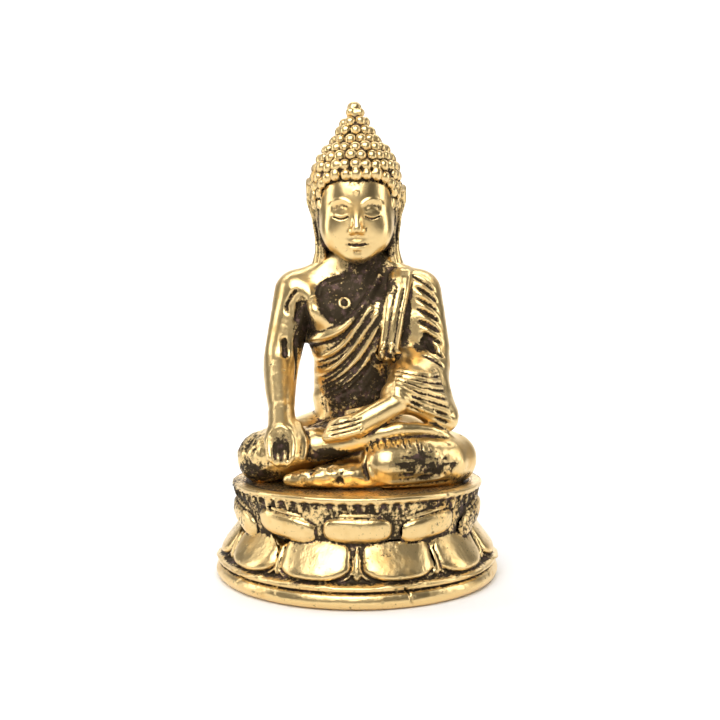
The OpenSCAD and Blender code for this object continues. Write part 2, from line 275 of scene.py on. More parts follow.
class Egg:
    """A ball with three radii, turned by angles in degrees."""

    def __init__(self, centre, radii, turn=(0, 0, 0), blend=0.5):
        self.centre = np.array(centre, dtype=float)
        self.radii = np.array(radii, dtype=float)
        self.turn = Euler([math.radians(a) for a in turn]).to_matrix()
        self.blend = blend

    def distance(self, p):
        """About how far each point is outside the egg."""
        q = (p - self.centre) @ np.array(self.turn)
        near = np.linalg.norm(q / self.radii, axis=1) + 1e-6
        steep = np.linalg.norm(q / self.radii**2, axis=1) + 1e-6
        return near * (near - 1.0) / steep

    def blank(self, bm):
        """Adds the egg's rough shape."""
        size = Matrix.Diagonal((*self.radii, 1.0))
        place = Matrix.Translation(Vector(self.centre)) @ self.turn.to_4x4() @ size
        bmesh.ops.create_icosphere(bm, subdivisions=4, radius=1.0, matrix=place)


class Block:
    """A box with rounded corners, given by its middle, half sizes and corner radius."""

    def __init__(self, centre, half, corner, blend=0.5):
        self.centre = np.array(centre, dtype=float)
        self.core = np.array(half, dtype=float) - corner
        self.corner = corner
        self.blend = blend

    def distance(self, p):
        """How far each point is outside the box."""
        q = np.abs(p - self.centre) - self.core
        outside = np.linalg.norm(np.maximum(q, 0.0), axis=1)
        return outside + np.minimum(q.max(axis=1), 0.0) - self.corner


def chain(points, blend=0.5, smooth=1):
    """Limbs through points, each given as x, y, z and radius, on a smooth curve if asked."""
    if smooth > 1:
        points = smooth_path(points, smooth)
    return [
        Limb(p[:3], p[3], q[:3], q[3], 0.02 if i else blend)
        for i, (p, q) in enumerate(zip(points, points[1:]))
    ]


def form(lumps, p):
    """Distance to all the lumps joined softly."""
    total = lumps[0].distance(p)
    for lump in lumps[1:]:
        total = soft_join(total, lump.distance(p), lump.blend)
    return total


def slope(field, p, here, step=0.01):
    """The direction in which the field grows, at each point."""
    sides = [(field(p + step * axis) - here) / step for axis in np.eye(3)]
    return np.stack(sides, axis=1)


def settle(points, field, edges, times=5, reach=0.25):
    """Moves points onto the field's surface, evening them out on the way."""
    for turn in range(times):
        here = field(points)
        grow = slope(field, points, here)
        steep = (grow * grow).sum(axis=1).clip(0.2)
        move = np.clip(here / steep, -reach, reach)
        points = points - move[:, None] * grow
        if turn < times - 2:
            points = relax(points, edges, 1, 0.3)
    return points


def clay(lumps, grain):
    """One closed skin of even grain round all the lumps."""
    gathered = bmesh.new()
    mesh = bpy.data.meshes.new("clay")
    for lump in lumps:
        bm = bmesh.new()
        lump.blank(bm)
        bm.to_mesh(mesh)
        bm.free()
        gathered.from_mesh(mesh)
    gathered.to_mesh(mesh)
    gathered.free()
    blank = bpy.data.objects.new("clay", mesh)
    bpy.context.collection.objects.link(blank)
    even = blank.modifiers.new("Even skin", "REMESH")
    even.mode = "VOXEL"
    even.voxel_size = grain
    ready = blank.evaluated_get(bpy.context.evaluated_depsgraph_get())
    skin = bpy.data.meshes.new_from_object(ready)
    bpy.data.objects.remove(blank)
    bpy.data.meshes.remove(mesh)
    return skin


def drop_onto(field, starts, heading, reach=16.0):
    """Slides points along a heading until they meet the field's surface."""
    place = np.array(starts, dtype=float)
    heading = np.broadcast_to(np.array(heading, dtype=float), place.shape)
    gone = np.zeros(len(place))
    for _ in range(36):
        gap = 0.9 * field(place)
        gap[gone > reach] = 0.0
        place += gap[:, None] * heading
        gone += gap
        if np.abs(gap).max() < 0.01:
            break
    return place


# ---------------------------------------------------------------- strokes of the modelling tool

def smooth_path(points, steps=10):
    """Points along a smooth curve through the given ones."""
    pts = np.array(points, dtype=float)
    pts = np.vstack([2 * pts[0] - pts[1], pts, 2 * pts[-1] - pts[-2]])
    out = []
    for i in range(1, len(pts) - 2):
        for s in np.arange(steps) / steps:
            a, b, c, d = pts[i - 1:i + 3]
            out.append(0.5 * (2 * b + (c - a) * s + (2 * a - 5 * b + 4 * c - d) * s**2
                              + (3 * b - a - 3 * c + d) * s**3))
    out.append(pts[-2])
    return np.array(out)


def path_distance(p, path):
    """Distance from each point to a path, and how far along it the nearest place is."""
    near = np.full(len(p), 1e9)
    where = np.zeros(len(p))
    pieces = len(path) - 1
    for i in range(pieces):
        along = path[i + 1] - path[i]
        off = p - path[i]
        t = np.clip(off @ along / max(along @ along, 1e-9), 0.0, 1.0)
        gap = np.linalg.norm(off - t[:, None] * along, axis=1)
        closer = gap < near
        near[closer] = gap[closer]
        where[closer] = (i + t[closer]) / pieces
    return near, where


def stroke(p, path, width, taper=0.15):
    """Strength of a stroke along a path: 1 on its line and 0 from its width on."""
    low, high = path.min(axis=0) - width, path.max(axis=0) + width
    inside = np.flatnonzero(((p >= low) & (p <= high)).all(axis=1))
    strength = np.zeros(len(p))
    if len(inside) == 0:
        return strength
    near, where = path_distance(p[inside], path)
    ends = ramp(where, 0.0, taper) * ramp(1.0 - where, 0.0, taper) if taper else 1.0
    strength[inside] = bump(near / width) * ends
    return strength


def patch(p, centre, radii):
    """Strength of a soft round patch."""
    return bump(np.linalg.norm((p - np.array(centre)) / np.array(radii), axis=1))


def lowered(path, drop):
    """A path moved down."""
    return path - np.array([0.0, 0.0, drop])


class Marks:
    """What the strokes leave on a skin: how far it rises, and how much darker it is painted."""

    def __init__(self, field, points, start):
        self.field = field
        self.points = points
        self.start = start
        self.rise = np.zeros(len(points))
        self.darkening = np.zeros(len(points))

    def front(self, *places):
        """A smooth path over the front of the form, through places given as x and z."""
        path = smooth_path([(x, self.start, z) for x, z in places], 6)
        return drop_onto(self.field, path, (0.0, 1.0, 0.0))

    def draw(self, path, width, height, dark=0.0, taper=0.15):
        """Adds a stroke along a path, with its height and how much darker it paints the skin."""
        mark = stroke(self.points, path, width, taper)
        self.rise += height * mark
        self.darkening += dark * mark


# ---------------------------------------------------------------- from a skin to finished pieces

def rim_loops(bm):
    """The open edges of a shell, one list for each opening."""
    left = {edge for edge in bm.edges if edge.is_boundary}
    loops = []
    while left:
        found = [left.pop()]
        for edge in found:
            touching = {e for vert in edge.verts for e in vert.link_edges} & left
            left -= touching
            found.extend(touching)
        loops.append(found)
    return loops


def close_openings(bm, depth):
    """Closes each opening of a shell with a shallow cone that dips under its surface."""
    apexes = {}
    for loop in rim_loops(bm):
        verts = {vert for edge in loop for vert in edge.verts}
        middle = sum((vert.co for vert in verts), Vector()) / len(verts)
        inward = -sum((vert.normal for vert in verts), Vector()).normalized() * depth
        apexes.update({vert.co.to_tuple(6): middle + inward for vert in verts})
    rim = [edge for edge in bm.edges if edge.is_boundary]
    made = bmesh.ops.extrude_edge_only(bm, edges=rim)["geom"]
    new = [item for item in made if isinstance(item, bmesh.types.BMVert)]
    for vert in new:
        vert.co = apexes[vert.co.to_tuple(6)]
    bmesh.ops.remove_doubles(bm, verts=new, dist=0.0001)


def tidy_labels(labels, edges, count):
    """Gives stray spots the label of what is round them."""
    for _ in range(4):
        votes = np.stack([neighbour_mean((labels == i) * 1.0, edges) for i in range(count)], axis=1)
        votes[np.arange(len(labels)), labels] += 0.35
        labels = votes.argmax(axis=1)
    return labels


def cut_piece(skin, keep, name, depth):
    """One closed piece: the faces of a skin whose points are all kept, and their neighbours."""
    bm = bmesh.new()
    bm.from_mesh(skin)
    bm.faces.ensure_lookup_table()
    drop = [face for face in bm.faces if not keep[face.verts[0].index]]
    bmesh.ops.delete(bm, geom=drop, context="FACES")
    bm.normal_update()
    close_openings(bm, depth)
    bmesh.ops.triangulate(bm, faces=[face for face in bm.faces if len(face.verts) > 4])
    return finish_piece(bm, name)


def finish_piece(bm, name):
    """Turns a bmesh in millimetres into a smooth object in metres, with its place in its mesh."""
    bmesh.ops.scale(bm, vec=(MM, MM, MM), verts=bm.verts)
    mesh = bpy.data.meshes.new(name)
    bm.to_mesh(mesh)
    bm.free()
    mesh.polygons.foreach_set("use_smooth", [True] * len(mesh.polygons))
    keep_skin_normals(mesh)
    piece = bpy.data.objects.new(name, mesh)
    bpy.context.collection.objects.link(piece)
    return piece


def keep_skin_normals(mesh):
    """Shades a piece with the normals of the skin that it was cut from, so its seams don't show."""
    kept = mesh.attributes.get("skin_normal")
    if kept is None:
        return
    own, normals = read_normals(mesh), read(kept.data, "vector")
    lost = np.linalg.norm(normals, axis=1) < 0.5
    normals[lost] = own[lost]
    mesh.normals_split_custom_set_from_vertices(normals.tolist())
    mesh.attributes.remove(kept)


def relief(points, normals, edges, times):
    """How far each point stands above (or below) its smoothed surroundings."""
    return ((points - relax(points, edges, times, 0.6)) * normals).sum(axis=1)


def patina_and_painted_shade(mesh, darkening, fine=6, broad=45, fine_depth=0.03, broad_depth=0.14):
    """Marks patina in fine hollows, painted shade in broad hollows where parts meet, and where
    handling has polished the metal.
    """
    points, normals, edges = read_points(mesh), read_normals(mesh), read_edges(mesh)
    near = relief(points, normals, edges, fine) / fine_depth
    wide = relief(points, normals, edges, broad) / broad_depth
    # The fine hollows hold patina; the broad hollows are painted shade, darkest where parts meet
    # and beside the nose.
    hollow = np.clip(-near, 0.0, 1.5) * 0.55 + np.clip(-wide, 0.0, 1.5) * 0.75
    high = np.clip(near, 0.0, 1.2) * 0.5 + np.clip(wide, 0.0, 1.2) * 0.6
    patina_and_shade = np.clip(relax(hollow - 0.25 * high, edges, 1) + darkening, 0.0, 0.92)
    store(mesh, "patina_and_shade", patina_and_shade)
    store(mesh, "polish", np.clip(relax(high, edges, 1), 0.0, 1.0))
    store(mesh, "skin_normal", normals)


def cut_and_place(mesh, label, slots, finish, depth):
    """Cuts a skin into one piece for each node, and ties each to the frame in its node's place."""
    for i, (node, slot) in enumerate(slots.items()):
        piece = cut_piece(mesh, label == i, "cast_" + node, depth)
        piece.data.materials.append(finish)
        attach(piece, "root")
        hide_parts(node)
    bpy.data.meshes.remove(mesh)


# ---------------------------------------------------------------- metal

def add_nodes(tree, *kinds):
    """Adds one node of each kind and returns them in order."""
    return [tree.nodes.new(kind) for kind in kinds]


def set_inputs(node, values):
    """Sets a node's own sockets by name."""
    for label, value in values.items():
        node.inputs[label].default_value = value


def new_group(name, inputs, outputs):
    """A shader node group with named sockets: each input is a name, a socket type and a value."""
    group = bpy.data.node_groups.new(name, "ShaderNodeTree")
    for label, kind, value in inputs:
        socket = group.interface.new_socket(name=label, in_out="INPUT", socket_type=kind)
        if value is not None:
            socket.default_value = value
    for label, kind in outputs:
        group.interface.new_socket(name=label, in_out="OUTPUT", socket_type=kind)
    return group, group.nodes.new("NodeGroupInput"), group.nodes.new("NodeGroupOutput")


def noise_node(tree, where, scale, detail):
    """The strength of a noise texture on the piece's own coordinates."""
    node = tree.nodes.new("ShaderNodeTexNoise")
    set_inputs(node, {"Scale": scale, "Detail": detail, "Roughness": 0.6})
    tree.links.new(where, node.inputs["Vector"])
    return node.outputs["Fac"]


def math_node(tree, operation, a, b, clamp=False):
    """A math node: a and b are sockets or numbers."""
    node = tree.nodes.new("ShaderNodeMath")
    node.operation = operation
    node.use_clamp = clamp
    for socket, value in zip(node.inputs, (a, b)):
        if isinstance(value, (int, float)):
            socket.default_value = value
        else:
            tree.links.new(value, socket)
    return node.outputs[0]


def range_node(tree, value, low, high, to_low=0.0, to_high=1.0):
    """Maps a value from one range to another, smoothly and held at the ends."""
    node = tree.nodes.new("ShaderNodeMapRange")
    node.interpolation_type = "SMOOTHSTEP"
    tree.links.new(value, node.inputs["Value"])
    set_inputs(node, {"From Min": low, "From Max": high, "To Min": to_low, "To Max": to_high})
    return node.outputs["Result"]


def mix_colour(tree, share, one, two):
    """Mixes two colours, each a socket or a value."""
    node = tree.nodes.new("ShaderNodeMix")
    node.data_type = "RGBA"
    tree.links.new(share, node.inputs["Factor"])
    for socket, value in ((node.inputs["A"], one), (node.inputs["B"], two)):
        if isinstance(value, bpy.types.NodeSocket):
            tree.links.new(value, socket)
        else:
            socket.default_value = value
    return node.outputs["Result"]


def patina_and_shade_group():
    """Where patina, painted shade and painted dark reflections lie: the hollows and dark places
    marked on the piece, broken up by noise.
    """
    group, ins, outs = new_group(
        "Patina and shade spread",
        [("Coordinates", "NodeSocketVector", None), ("Amount", "NodeSocketFloat", 1.0),
         ("Break-up", "NodeSocketFloat", 0.5), ("Edge", "NodeSocketFloat", 0.25)],
        [("Patina", "NodeSocketFloat"), ("Polish", "NodeSocketFloat")])
    marked, worn = add_nodes(group, "ShaderNodeAttribute", "ShaderNodeAttribute")
    marked.attribute_name = "patina_and_shade"
    worn.attribute_name = "polish"
    coarse = noise_node(group, ins.outputs["Coordinates"], 900.0, 4.0)
    fine = noise_node(group, ins.outputs["Coordinates"], 4200.0, 3.0)
    uneven = math_node(group, "ADD", coarse, math_node(group, "MULTIPLY", fine, 2.0))
    uneven = math_node(group, "SUBTRACT", uneven, 1.5)
    uneven = math_node(group, "MULTIPLY", uneven, ins.outputs["Break-up"])
    spread = math_node(group, "MULTIPLY", marked.outputs["Fac"], ins.outputs["Amount"])
    spread = math_node(group, "ADD", spread, uneven)
    low = math_node(group, "SUBTRACT", 0.5, ins.outputs["Edge"])
    width = math_node(group, "MULTIPLY", ins.outputs["Edge"], 2.0)
    spread = math_node(group, "DIVIDE", math_node(group, "SUBTRACT", spread, low), width, True)
    # The Patina output also carries the painted shade and the painted dark reflections.
    group.links.new(spread, outs.inputs["Patina"])
    group.links.new(worn.outputs["Fac"], outs.inputs["Polish"])
    return group


def cast_skin_group():
    """The height of a cast surface: soft dimples, fine grain and a few deep pits."""
    group, ins, outs = new_group(
        "Cast skin",
        [("Coordinates", "NodeSocketVector", None), ("Roughness", "NodeSocketFloat", 0.5),
         ("Pits", "NodeSocketFloat", 0.5)],
        [("Height", "NodeSocketFloat"), ("Pit", "NodeSocketFloat")])
    where = ins.outputs["Coordinates"]
    dimples, grain = noise_node(group, where, 1500.0, 2.0), noise_node(group, where, 7000.0, 3.0)
    pits = group.nodes.new("ShaderNodeTexVoronoi")
    pits.inputs["Scale"].default_value = 1300.0
    group.links.new(where, pits.inputs["Vector"])
    hole = range_node(group, pits.outputs["Distance"], 0.05, 0.3, 1.0, 0.0)
    pitted = range_node(group, noise_node(group, where, 500.0, 1.0), 0.55, 0.7)
    hole = math_node(group, "MULTIPLY", hole, pitted)
    hole = math_node(group, "MULTIPLY", hole, ins.outputs["Pits"])
    height = math_node(group, "ADD", dimples, math_node(group, "MULTIPLY", grain, 0.35))
    height = math_node(group, "MULTIPLY", height, ins.outputs["Roughness"])
    height = math_node(group, "SUBTRACT", height, hole)
    group.links.new(height, outs.inputs["Height"])
    group.links.new(hole, outs.inputs["Pit"])
    return group


def shared_group(name, make):
    """The node group of that name, made once."""
    return bpy.data.node_groups.get(name) or make()


def brass(name, break_up, grain, pits):
    """Polished cast brass with patina in its hollows and painted shade in its broad hollows, with
    its own amounts of each.
    """
    finish = bpy.context.scene.statuette_finish
    material = bpy.data.materials.new(name)
    material.use_nodes = True
    tree = material.node_tree
    tree.nodes.clear()
    out, metal, where, swell, spread, skin = add_nodes(
        tree, "ShaderNodeOutputMaterial", "ShaderNodeBsdfPrincipled", "ShaderNodeTexCoord",
        "ShaderNodeBump", "ShaderNodeGroup", "ShaderNodeGroup")
    place = where.outputs["Object"]
    spread.node_tree = shared_group("Patina and shade spread", patina_and_shade_group)
    skin.node_tree = shared_group("Cast skin", cast_skin_group)
    for group in (spread, skin):
        tree.links.new(place, group.inputs["Coordinates"])
    set_inputs(spread, {"Amount": 1.0, "Break-up": break_up, "Edge": 0.2})
    set_inputs(skin, {"Roughness": grain, "Pits": pits})
    # The patina colour goes on the patina, the painted shade, the painted dark reflections and the
    # pits.
    lies = math_node(tree, "MAXIMUM", spread.outputs["Patina"], skin.outputs["Pit"], True)
    dull = range_node(tree, noise_node(tree, place, 350.0, 3.0), 0.42, 0.75)
    dull = math_node(tree, "SUBTRACT", dull, spread.outputs["Polish"], True)
    metal_colour = mix_colour(tree, dull, tuple(finish.bright), tuple(finish.warm))
    plum = range_node(tree, noise_node(tree, place, 1600.0, 4.0), 0.5, 0.7)
    patina_and_shade_colour = mix_colour(tree, plum, tuple(finish.dark), tuple(finish.plum))
    tree.links.new(mix_colour(tree, lies, metal_colour, patina_and_shade_colour), metal.inputs["Base Color"])
    tree.links.new(range_node(tree, lies, 0.0, 1.0, 1.0, 0.7), metal.inputs["Metallic"])
    rough_metal = math_node(tree, "ADD", math_node(tree, "MULTIPLY", dull, 0.16), 0.29)
    aged = math_node(tree, "MULTIPLY", lies, 0.3)
    tree.links.new(math_node(tree, "ADD", rough_metal, aged), metal.inputs["Roughness"])
    set_inputs(swell, {"Strength": 1.0, "Distance": 0.05 * MM})
    tree.links.new(skin.outputs["Height"], swell.inputs["Height"])
    tree.links.new(swell.outputs["Normal"], metal.inputs["Normal"])
    tree.links.new(metal.outputs["BSDF"], out.inputs["Surface"])
    return material


# ---------------------------------------------------------------- pedestal

class Turning:
    """The pedestal's levels and radii, from the frame."""

    foot = FOOT_HIGH[0]
    foot_top = FOOT_HIGH[2] * 0.94
    band_top = FOOT_HIGH[2] * 0.6
    drum_foot = CORE_HIGH[0] + 0.3
    rim = SEAT_HIGH[0]
    top = SEAT_HIGH[2]
    under_rim = SEAT_LOW[2] + 0.15
    waist = 9.95
    waist_z = 4.6
    foot_reach = 11.2
    crack_reach = 11.5
    low_row = 3.15
    high_row = 5.4


def turned_radius(z):
    """Radius of the bare pedestal at each height, without petals."""
    foot_round = 0.75
    below = np.clip(foot_round - z, 0, foot_round)
    edge = foot_round - np.sqrt(np.clip(foot_round**2 - below**2, 0, None))
    band = Turning.foot + 0.12 - edge - 0.22 * np.clip(z / Turning.band_top, 0, 1) ** 3
    band = band - 0.3 * bump((z - Turning.band_top - 0.12) / 0.16)
    band = band + 0.05 * bump((z - Turning.band_top - 0.4) / 0.2)
    down = np.clip((Turning.waist_z - z) / (Turning.waist_z - Turning.foot_top), 0, 1)
    rise = np.clip((z - Turning.waist_z) / (Turning.under_rim - Turning.waist_z), 0, 1)
    drum = Turning.waist + (Turning.drum_foot - Turning.waist) * down**1.25 + 0.3 * rise**0.8
    radius = band + (drum - band) * ramp(z, Turning.foot_top - 0.12, Turning.foot_top + 0.12)
    rim = Turning.rim - 0.1 - 0.5 * np.abs((z - (Turning.under_rim + 0.3)) / 0.32) ** 3
    return np.where(z > Turning.under_rim, np.maximum(radius, rim), radius)


def pad(across, up, half_width, half_height, corner):
    """Height of a cushion-like pad, from 1 in the middle to 0 at its outline."""
    off = np.abs(across / half_width) ** corner + np.abs(up / half_height) ** corner
    return np.clip(1.0 - off, 0.0, 1.0) ** 0.42


def rim_line(across, up, half_width, half_height, corner, width):
    """A thin ridge that follows a pad's outline."""
    off = np.abs(across / half_width) ** corner + np.abs(up / half_height) ** corner
    return bump((off ** (1 / corner) - 1.0) * half_height / width)


# The pedestal's pieces in the order of their labels, each with its material slot
PEDESTAL_SLOTS = {
    "foot_moulding": "polished_brass", "pedestal_core": "aged_brass",
    "lower_petals": "polished_brass", "petal_buds": "aged_brass",
    "upper_petals": "polished_brass", "stamen_band": "aged_brass",
    "seat_slab": "polished_brass",
}
FOOT, DRUM, LOWER, BUDS, UPPER, TEETH, SEAT = range(len(PEDESTAL_SLOTS))


def petal_hands(sizes, seed):
    """Five small differences from -1 to 1 for each hand-made petal, after its number."""
    return enumerate(np.random.default_rng(seed).uniform(-1.0, 1.0, (sizes.petals, 5)))


def turned(angle, facing):
    """The angle from a petal's middle, from -pi to pi."""
    return (angle - facing + math.pi) % (2 * math.pi) - math.pi


def pedestal_relief(angle, z, sizes):
    """How far the pedestal stands out at each place, and which piece it belongs to."""
    out = np.zeros(len(z))
    label = np.where(z < Turning.foot_top, FOOT, np.where(z > Turning.under_rim, SEAT, DRUM))
    pitch = 2 * math.pi / sizes.petals
    for i, hand in petal_hands(sizes, 5):
        across = turned(angle, pitch * (i + 0.5) + 0.02 * hand[0]) * Turning.foot_reach
        up = z - Turning.low_row - 0.08 * hand[1]
        wide = 2.92 + 0.08 * hand[2] - 0.1 * up
        tall = 1.3
        corner = 2.5 + 2.5 * ramp(up, -0.8, 0.8)
        body = pad(across, up, wide, tall, corner)
        swell = sizes.petal_swell * (0.95 + 0.08 * hand[3]) - 0.36 * up
        out = np.maximum(out, swell * body)
        label = np.where(body > 0, LOWER, label)
        lip = rim_line(across, up, wide + 0.2, tall + 0.2, corner, 0.1) * ramp(0.6 - up, 0.0, 0.5)
        out = np.maximum(out, 0.34 * lip)
    for i, hand in petal_hands(sizes, 9):
        facing = pitch * i
        turn = turned(angle, facing)
        narrow = np.clip((4.3 + 0.1 * hand[0] - z) / 1.9, 0.02, 1.0)
        bud = pad(turn * 11.0, z - 3.05, 0.42 * narrow**0.8, 1.1, 2.0)
        out = np.maximum(out, 0.42 * bud)
        label = np.where((bud > 0) & (label == DRUM), BUDS, label)
        lean = math.sin(facing) * math.radians(15)
        across = turn * 10.4 + 0.1 * hand[1]
        up = z - Turning.high_row - across * math.tan(lean) - 0.06 * hand[2]
        body = pad(across, up, 2.55 + 0.14 * hand[3], 0.92 + 0.04 * hand[4], 3.2)
        out = np.maximum(out, 0.8 * sizes.petal_swell * body)
        label = np.where(body > 0, UPPER, label)
        crescent = bump((up - 1.1 + 0.05 * across**2) / 0.16) * bump(across / 2.0)
        out = np.maximum(out, 0.34 * crescent)
        label = np.where((crescent > 0) & (label == DRUM), UPPER, label)
    out = np.maximum(out, teeth(angle, z, sizes))
    return out, np.where((z > 6.45) & (label == DRUM), TEETH, label)


def teeth(angle, z, sizes):
    """The stamens under the rim: pointed teeth of uneven length and strength."""
    along = angle * sizes.stamens / (2 * math.pi)
    hand = lattice(np.stack([np.floor(along)] * 3, axis=1).astype(np.int64), 4)
    hang = np.clip((z - 6.35 - 0.55 * hand) / 0.8, 0.0, 1.0)
    off = np.abs((along % 1.0) - 0.5) * 2.0
    spike = np.clip(1.0 - off / (0.1 + 0.85 * hang), 0.0, 1.0) * (hang > 0)
    faint = 0.6 + 0.4 * np.sin(5.0 * angle + 2.0) * np.sin(3.0 * angle)
    return 0.34 * faint * spike**0.7


def pedestal_outline(sizes):
    """The pedestal's turned outline, from the middle underneath to the middle of the seat."""
    side = np.arange(0.0, Turning.top, 0.075)
    lip = Turning.rim - 0.62
    floor = Turning.top - sizes.floor_drop
    under = [(r, 0.0) for r in np.arange(0.0, Turning.foot - 0.7, 0.5)]
    outer = list(zip(turned_radius(side), side))
    turn = np.linspace(0.3, 2.6, 8)
    rounded = list(zip(lip + 0.42 * np.cos(turn), Turning.top - 0.1 + 0.1 * np.sin(turn)))
    inner = [(lip - 0.45, floor + 0.16), (lip - 0.62, floor + 0.04), (lip - 0.85, floor)]
    flat = [(r, floor) for r in np.arange(lip - 1.1, 0.3, -0.3)]
    return np.array(under + outer + rounded + inner + flat + [(0.0, floor)])


def pedestal_skin(sizes):
    """The bare pedestal: a grid rolled up round the axis along its outline."""
    outline = pedestal_outline(sizes)
    bm = bmesh.new()
    bmesh.ops.create_grid(bm, x_segments=sizes.steps, y_segments=len(outline) - 1, size=1.0)
    for vert in bm.verts:
        angle = math.pi * vert.co.x
        radius, z = outline[round((vert.co.y + 1.0) / 2.0 * (len(outline) - 1))]
        vert.co = (radius * math.sin(angle), -radius * math.cos(angle), z)
    bmesh.ops.remove_doubles(bm, verts=bm.verts, dist=0.0005)
    bmesh.ops.recalc_face_normals(bm, faces=bm.faces)
    mesh = bpy.data.meshes.new("pedestal_skin")
    bm.to_mesh(mesh)
    bm.free()
    return mesh


# Cracks in the foot: bearing in radians, top, bottom and half width in mm
CRACKS = ((0.36, 1.75, 0.5, 0.16), (-0.86, 2.4, 0.9, 0.14), (1.9, 1.6, 0.4, 0.12))


def shape_pedestal(sizes):
    """Raises the petals, roughens the casting and marks which piece each point is in."""
    mesh = pedestal_skin(sizes)
    points, edges = read_points(mesh), read_edges(mesh)
    angle = np.arctan2(points[:, 0], -points[:, 1])
    z = points[:, 2].copy()
    radius = np.hypot(points[:, 0], points[:, 1])
    on_side = ramp(radius, Turning.waist - 0.9, Turning.waist - 0.4) * (z > 0.02)
    raised, label = pedestal_relief(angle, z, sizes)
    raised = relax(raised, edges, 2) * (z < Turning.under_rim + 0.1)
    uneven = 0.09 * noise(points, 3.5, 21) + 0.035 * rough(points, 0.9, 31)
    worn = ramp(noise(points, 2.6, 25), -0.1, 0.5) * ramp(np.abs(angle), 0.5, 1.5)
    uneven = uneven + 0.11 * worn * rough(points, 0.7, 27) * (z > 1.3)
    wander = 0.05 * noise(points, 0.7, 29)
    for at, top, low, wide in CRACKS:
        crack = bump((angle - at - wander + 0.05 * (z - low)) * Turning.crack_reach / wide)
        uneven = uneven - 0.3 * crack * ramp(z, low - 0.3, low) * ramp(top - z, 0.0, 0.3)
    calm = ramp(z, 0.0, 0.5)
    out = (raised + uneven * calm) * on_side
    points = points + out[:, None] * outward(angle)
    on_floor = (radius < Turning.rim - 0.9) & (z > 1.0)
    points[:, 2] += on_floor * (0.04 * rough(points, 1.2, 41) - 0.05)
    write_points(mesh, points)
    label = np.where(on_floor | (z > Turning.under_rim), SEAT, label)
    label = np.where(z <= 0.02, FOOT, label)
    darkening = 0.3 * np.clip(noise(points, 2.2, 51), 0, 1) + 0.4 * ((label == DRUM) | (label == TEETH))
    darkening = darkening + 0.4 * worn * (z > 1.3) + 0.25 * ramp(np.abs(angle), 0.7, 1.3) * (z > 4.4)
    darkening = np.where(on_floor, 0.3 + 0.2 * noise(points, 2.0, 53), darkening)
    # Patina in fine hollows, and painted shade in broad hollows between the petals.
    patina_and_painted_shade(mesh, darkening, fine=5, broad=40, fine_depth=0.035, broad_depth=0.2)
    return mesh, label


class STATUETTE_OT_pedestal(bpy.types.Operator):
    """Make the double-lotus pedestal and cut it into its pieces"""

    bl_idname = "statuette.pedestal"
    bl_label = "Pedestal"

    def execute(self, context):
        mesh, label = shape_pedestal(context.scene.statuette_pedestal)
        finish = brass("Pedestal brass", break_up=1.05, grain=0.7, pits=0.8)
        cut_and_place(mesh, label, PEDESTAL_SLOTS, finish, 0.3)
        return {"FINISHED"}


# ---------------------------------------------------------------- figure

class Pose:
    """Places on the figure, in millimetres, from the frame."""

    floor = LEG_LOW[2]
    knee_out = LEG_HIGH[0] - 2.4
    shoulder_z = ARM_HIGH[2] - 2.35
    knee = (knee_out + 0.2, -1.4, floor + 2.1)
    hip = (3.1, 2.6, floor + 3.1)
    shoulder = (5.15, 1.6, shoulder_z)
    elbow = (6.6, 0.7, shoulder_z - 5.9)


def trunk():
    """Pelvis, belly, ribs, chest and the slopes up to the neck."""
    top = Pose.shoulder_z
    return [
        Egg((0, 2.0, 11.0), (4.6, 3.2, 3.2)),
        Egg((0, 1.7, 14.6), (3.95, 2.75, 3.0), blend=1.2),
        Egg((0, 1.6, 17.0), (3.85, 2.5, 2.8), blend=1.0),
        Egg((0, 1.5, 20.4), (4.5, 2.75, 3.9), blend=1.0),
        Egg((-1.95, -0.1, 21.9), (2.3, 1.35, 1.8), (0, 0, 12), 0.9),
        Egg((1.95, -0.1, 21.9), (2.3, 1.35, 1.8), (0, 0, -12), 0.9),
        Limb((-4.3, 1.7, top), 2.05, (4.3, 1.7, top), 2.05, 0.9),
        Limb((4.5, 1.7, top + 0.4), 1.75, (1.3, 1.4, 26.7), 1.25, 0.9),
        Limb((-4.5, 1.7, top + 0.4), 1.75, (-1.3, 1.4, 26.7), 1.25, 0.9),
        Limb((0, 1.6, 24.5), 1.9, (0, 1.2, 27.4), 1.75, 0.9),
    ]


def bare_arm():
    """The right arm, hanging to the knee, and its hand with the fingers down."""
    x, y, z = Pose.shoulder
    ex, ey, ez = Pose.elbow
    arm = chain([
        (-x, y, z, 2.25), (-x - 0.95, y - 0.35, z - 3.1, 1.75), (-ex, ey, ez, 1.6),
        (-6.5, -1.4, 15.8, 1.35), (-6.15, -3.7, 13.7, 1.05),
    ], 0.7, 3)
    hand = [
        Limb((-6.15, -3.9, 13.5), 1.08, (-5.95, -5.0, 12.2), 1.2, 0.2),
        Egg((-5.85, -5.3, 11.7), (1.5, 0.85, 1.15), (-18, 0, 0), 0.5),
    ]
    for i in range(4):
        root = (-6.85 + 0.64 * i, -5.6, 11.5)
        tip = (-6.72 + 0.58 * i, -6.1, 9.95 + 0.14 * (i - 1.5) ** 2)
        hand.append(Limb(root, 0.52, tip, 0.44, 0.3))
    thumb = chain([
        (-5.0, -4.7, 12.6, 0.6), (-4.35, -5.3, 11.4, 0.52), (-4.35, -5.75, 10.2, 0.42),
    ], 0.2)
    return arm + hand + thumb


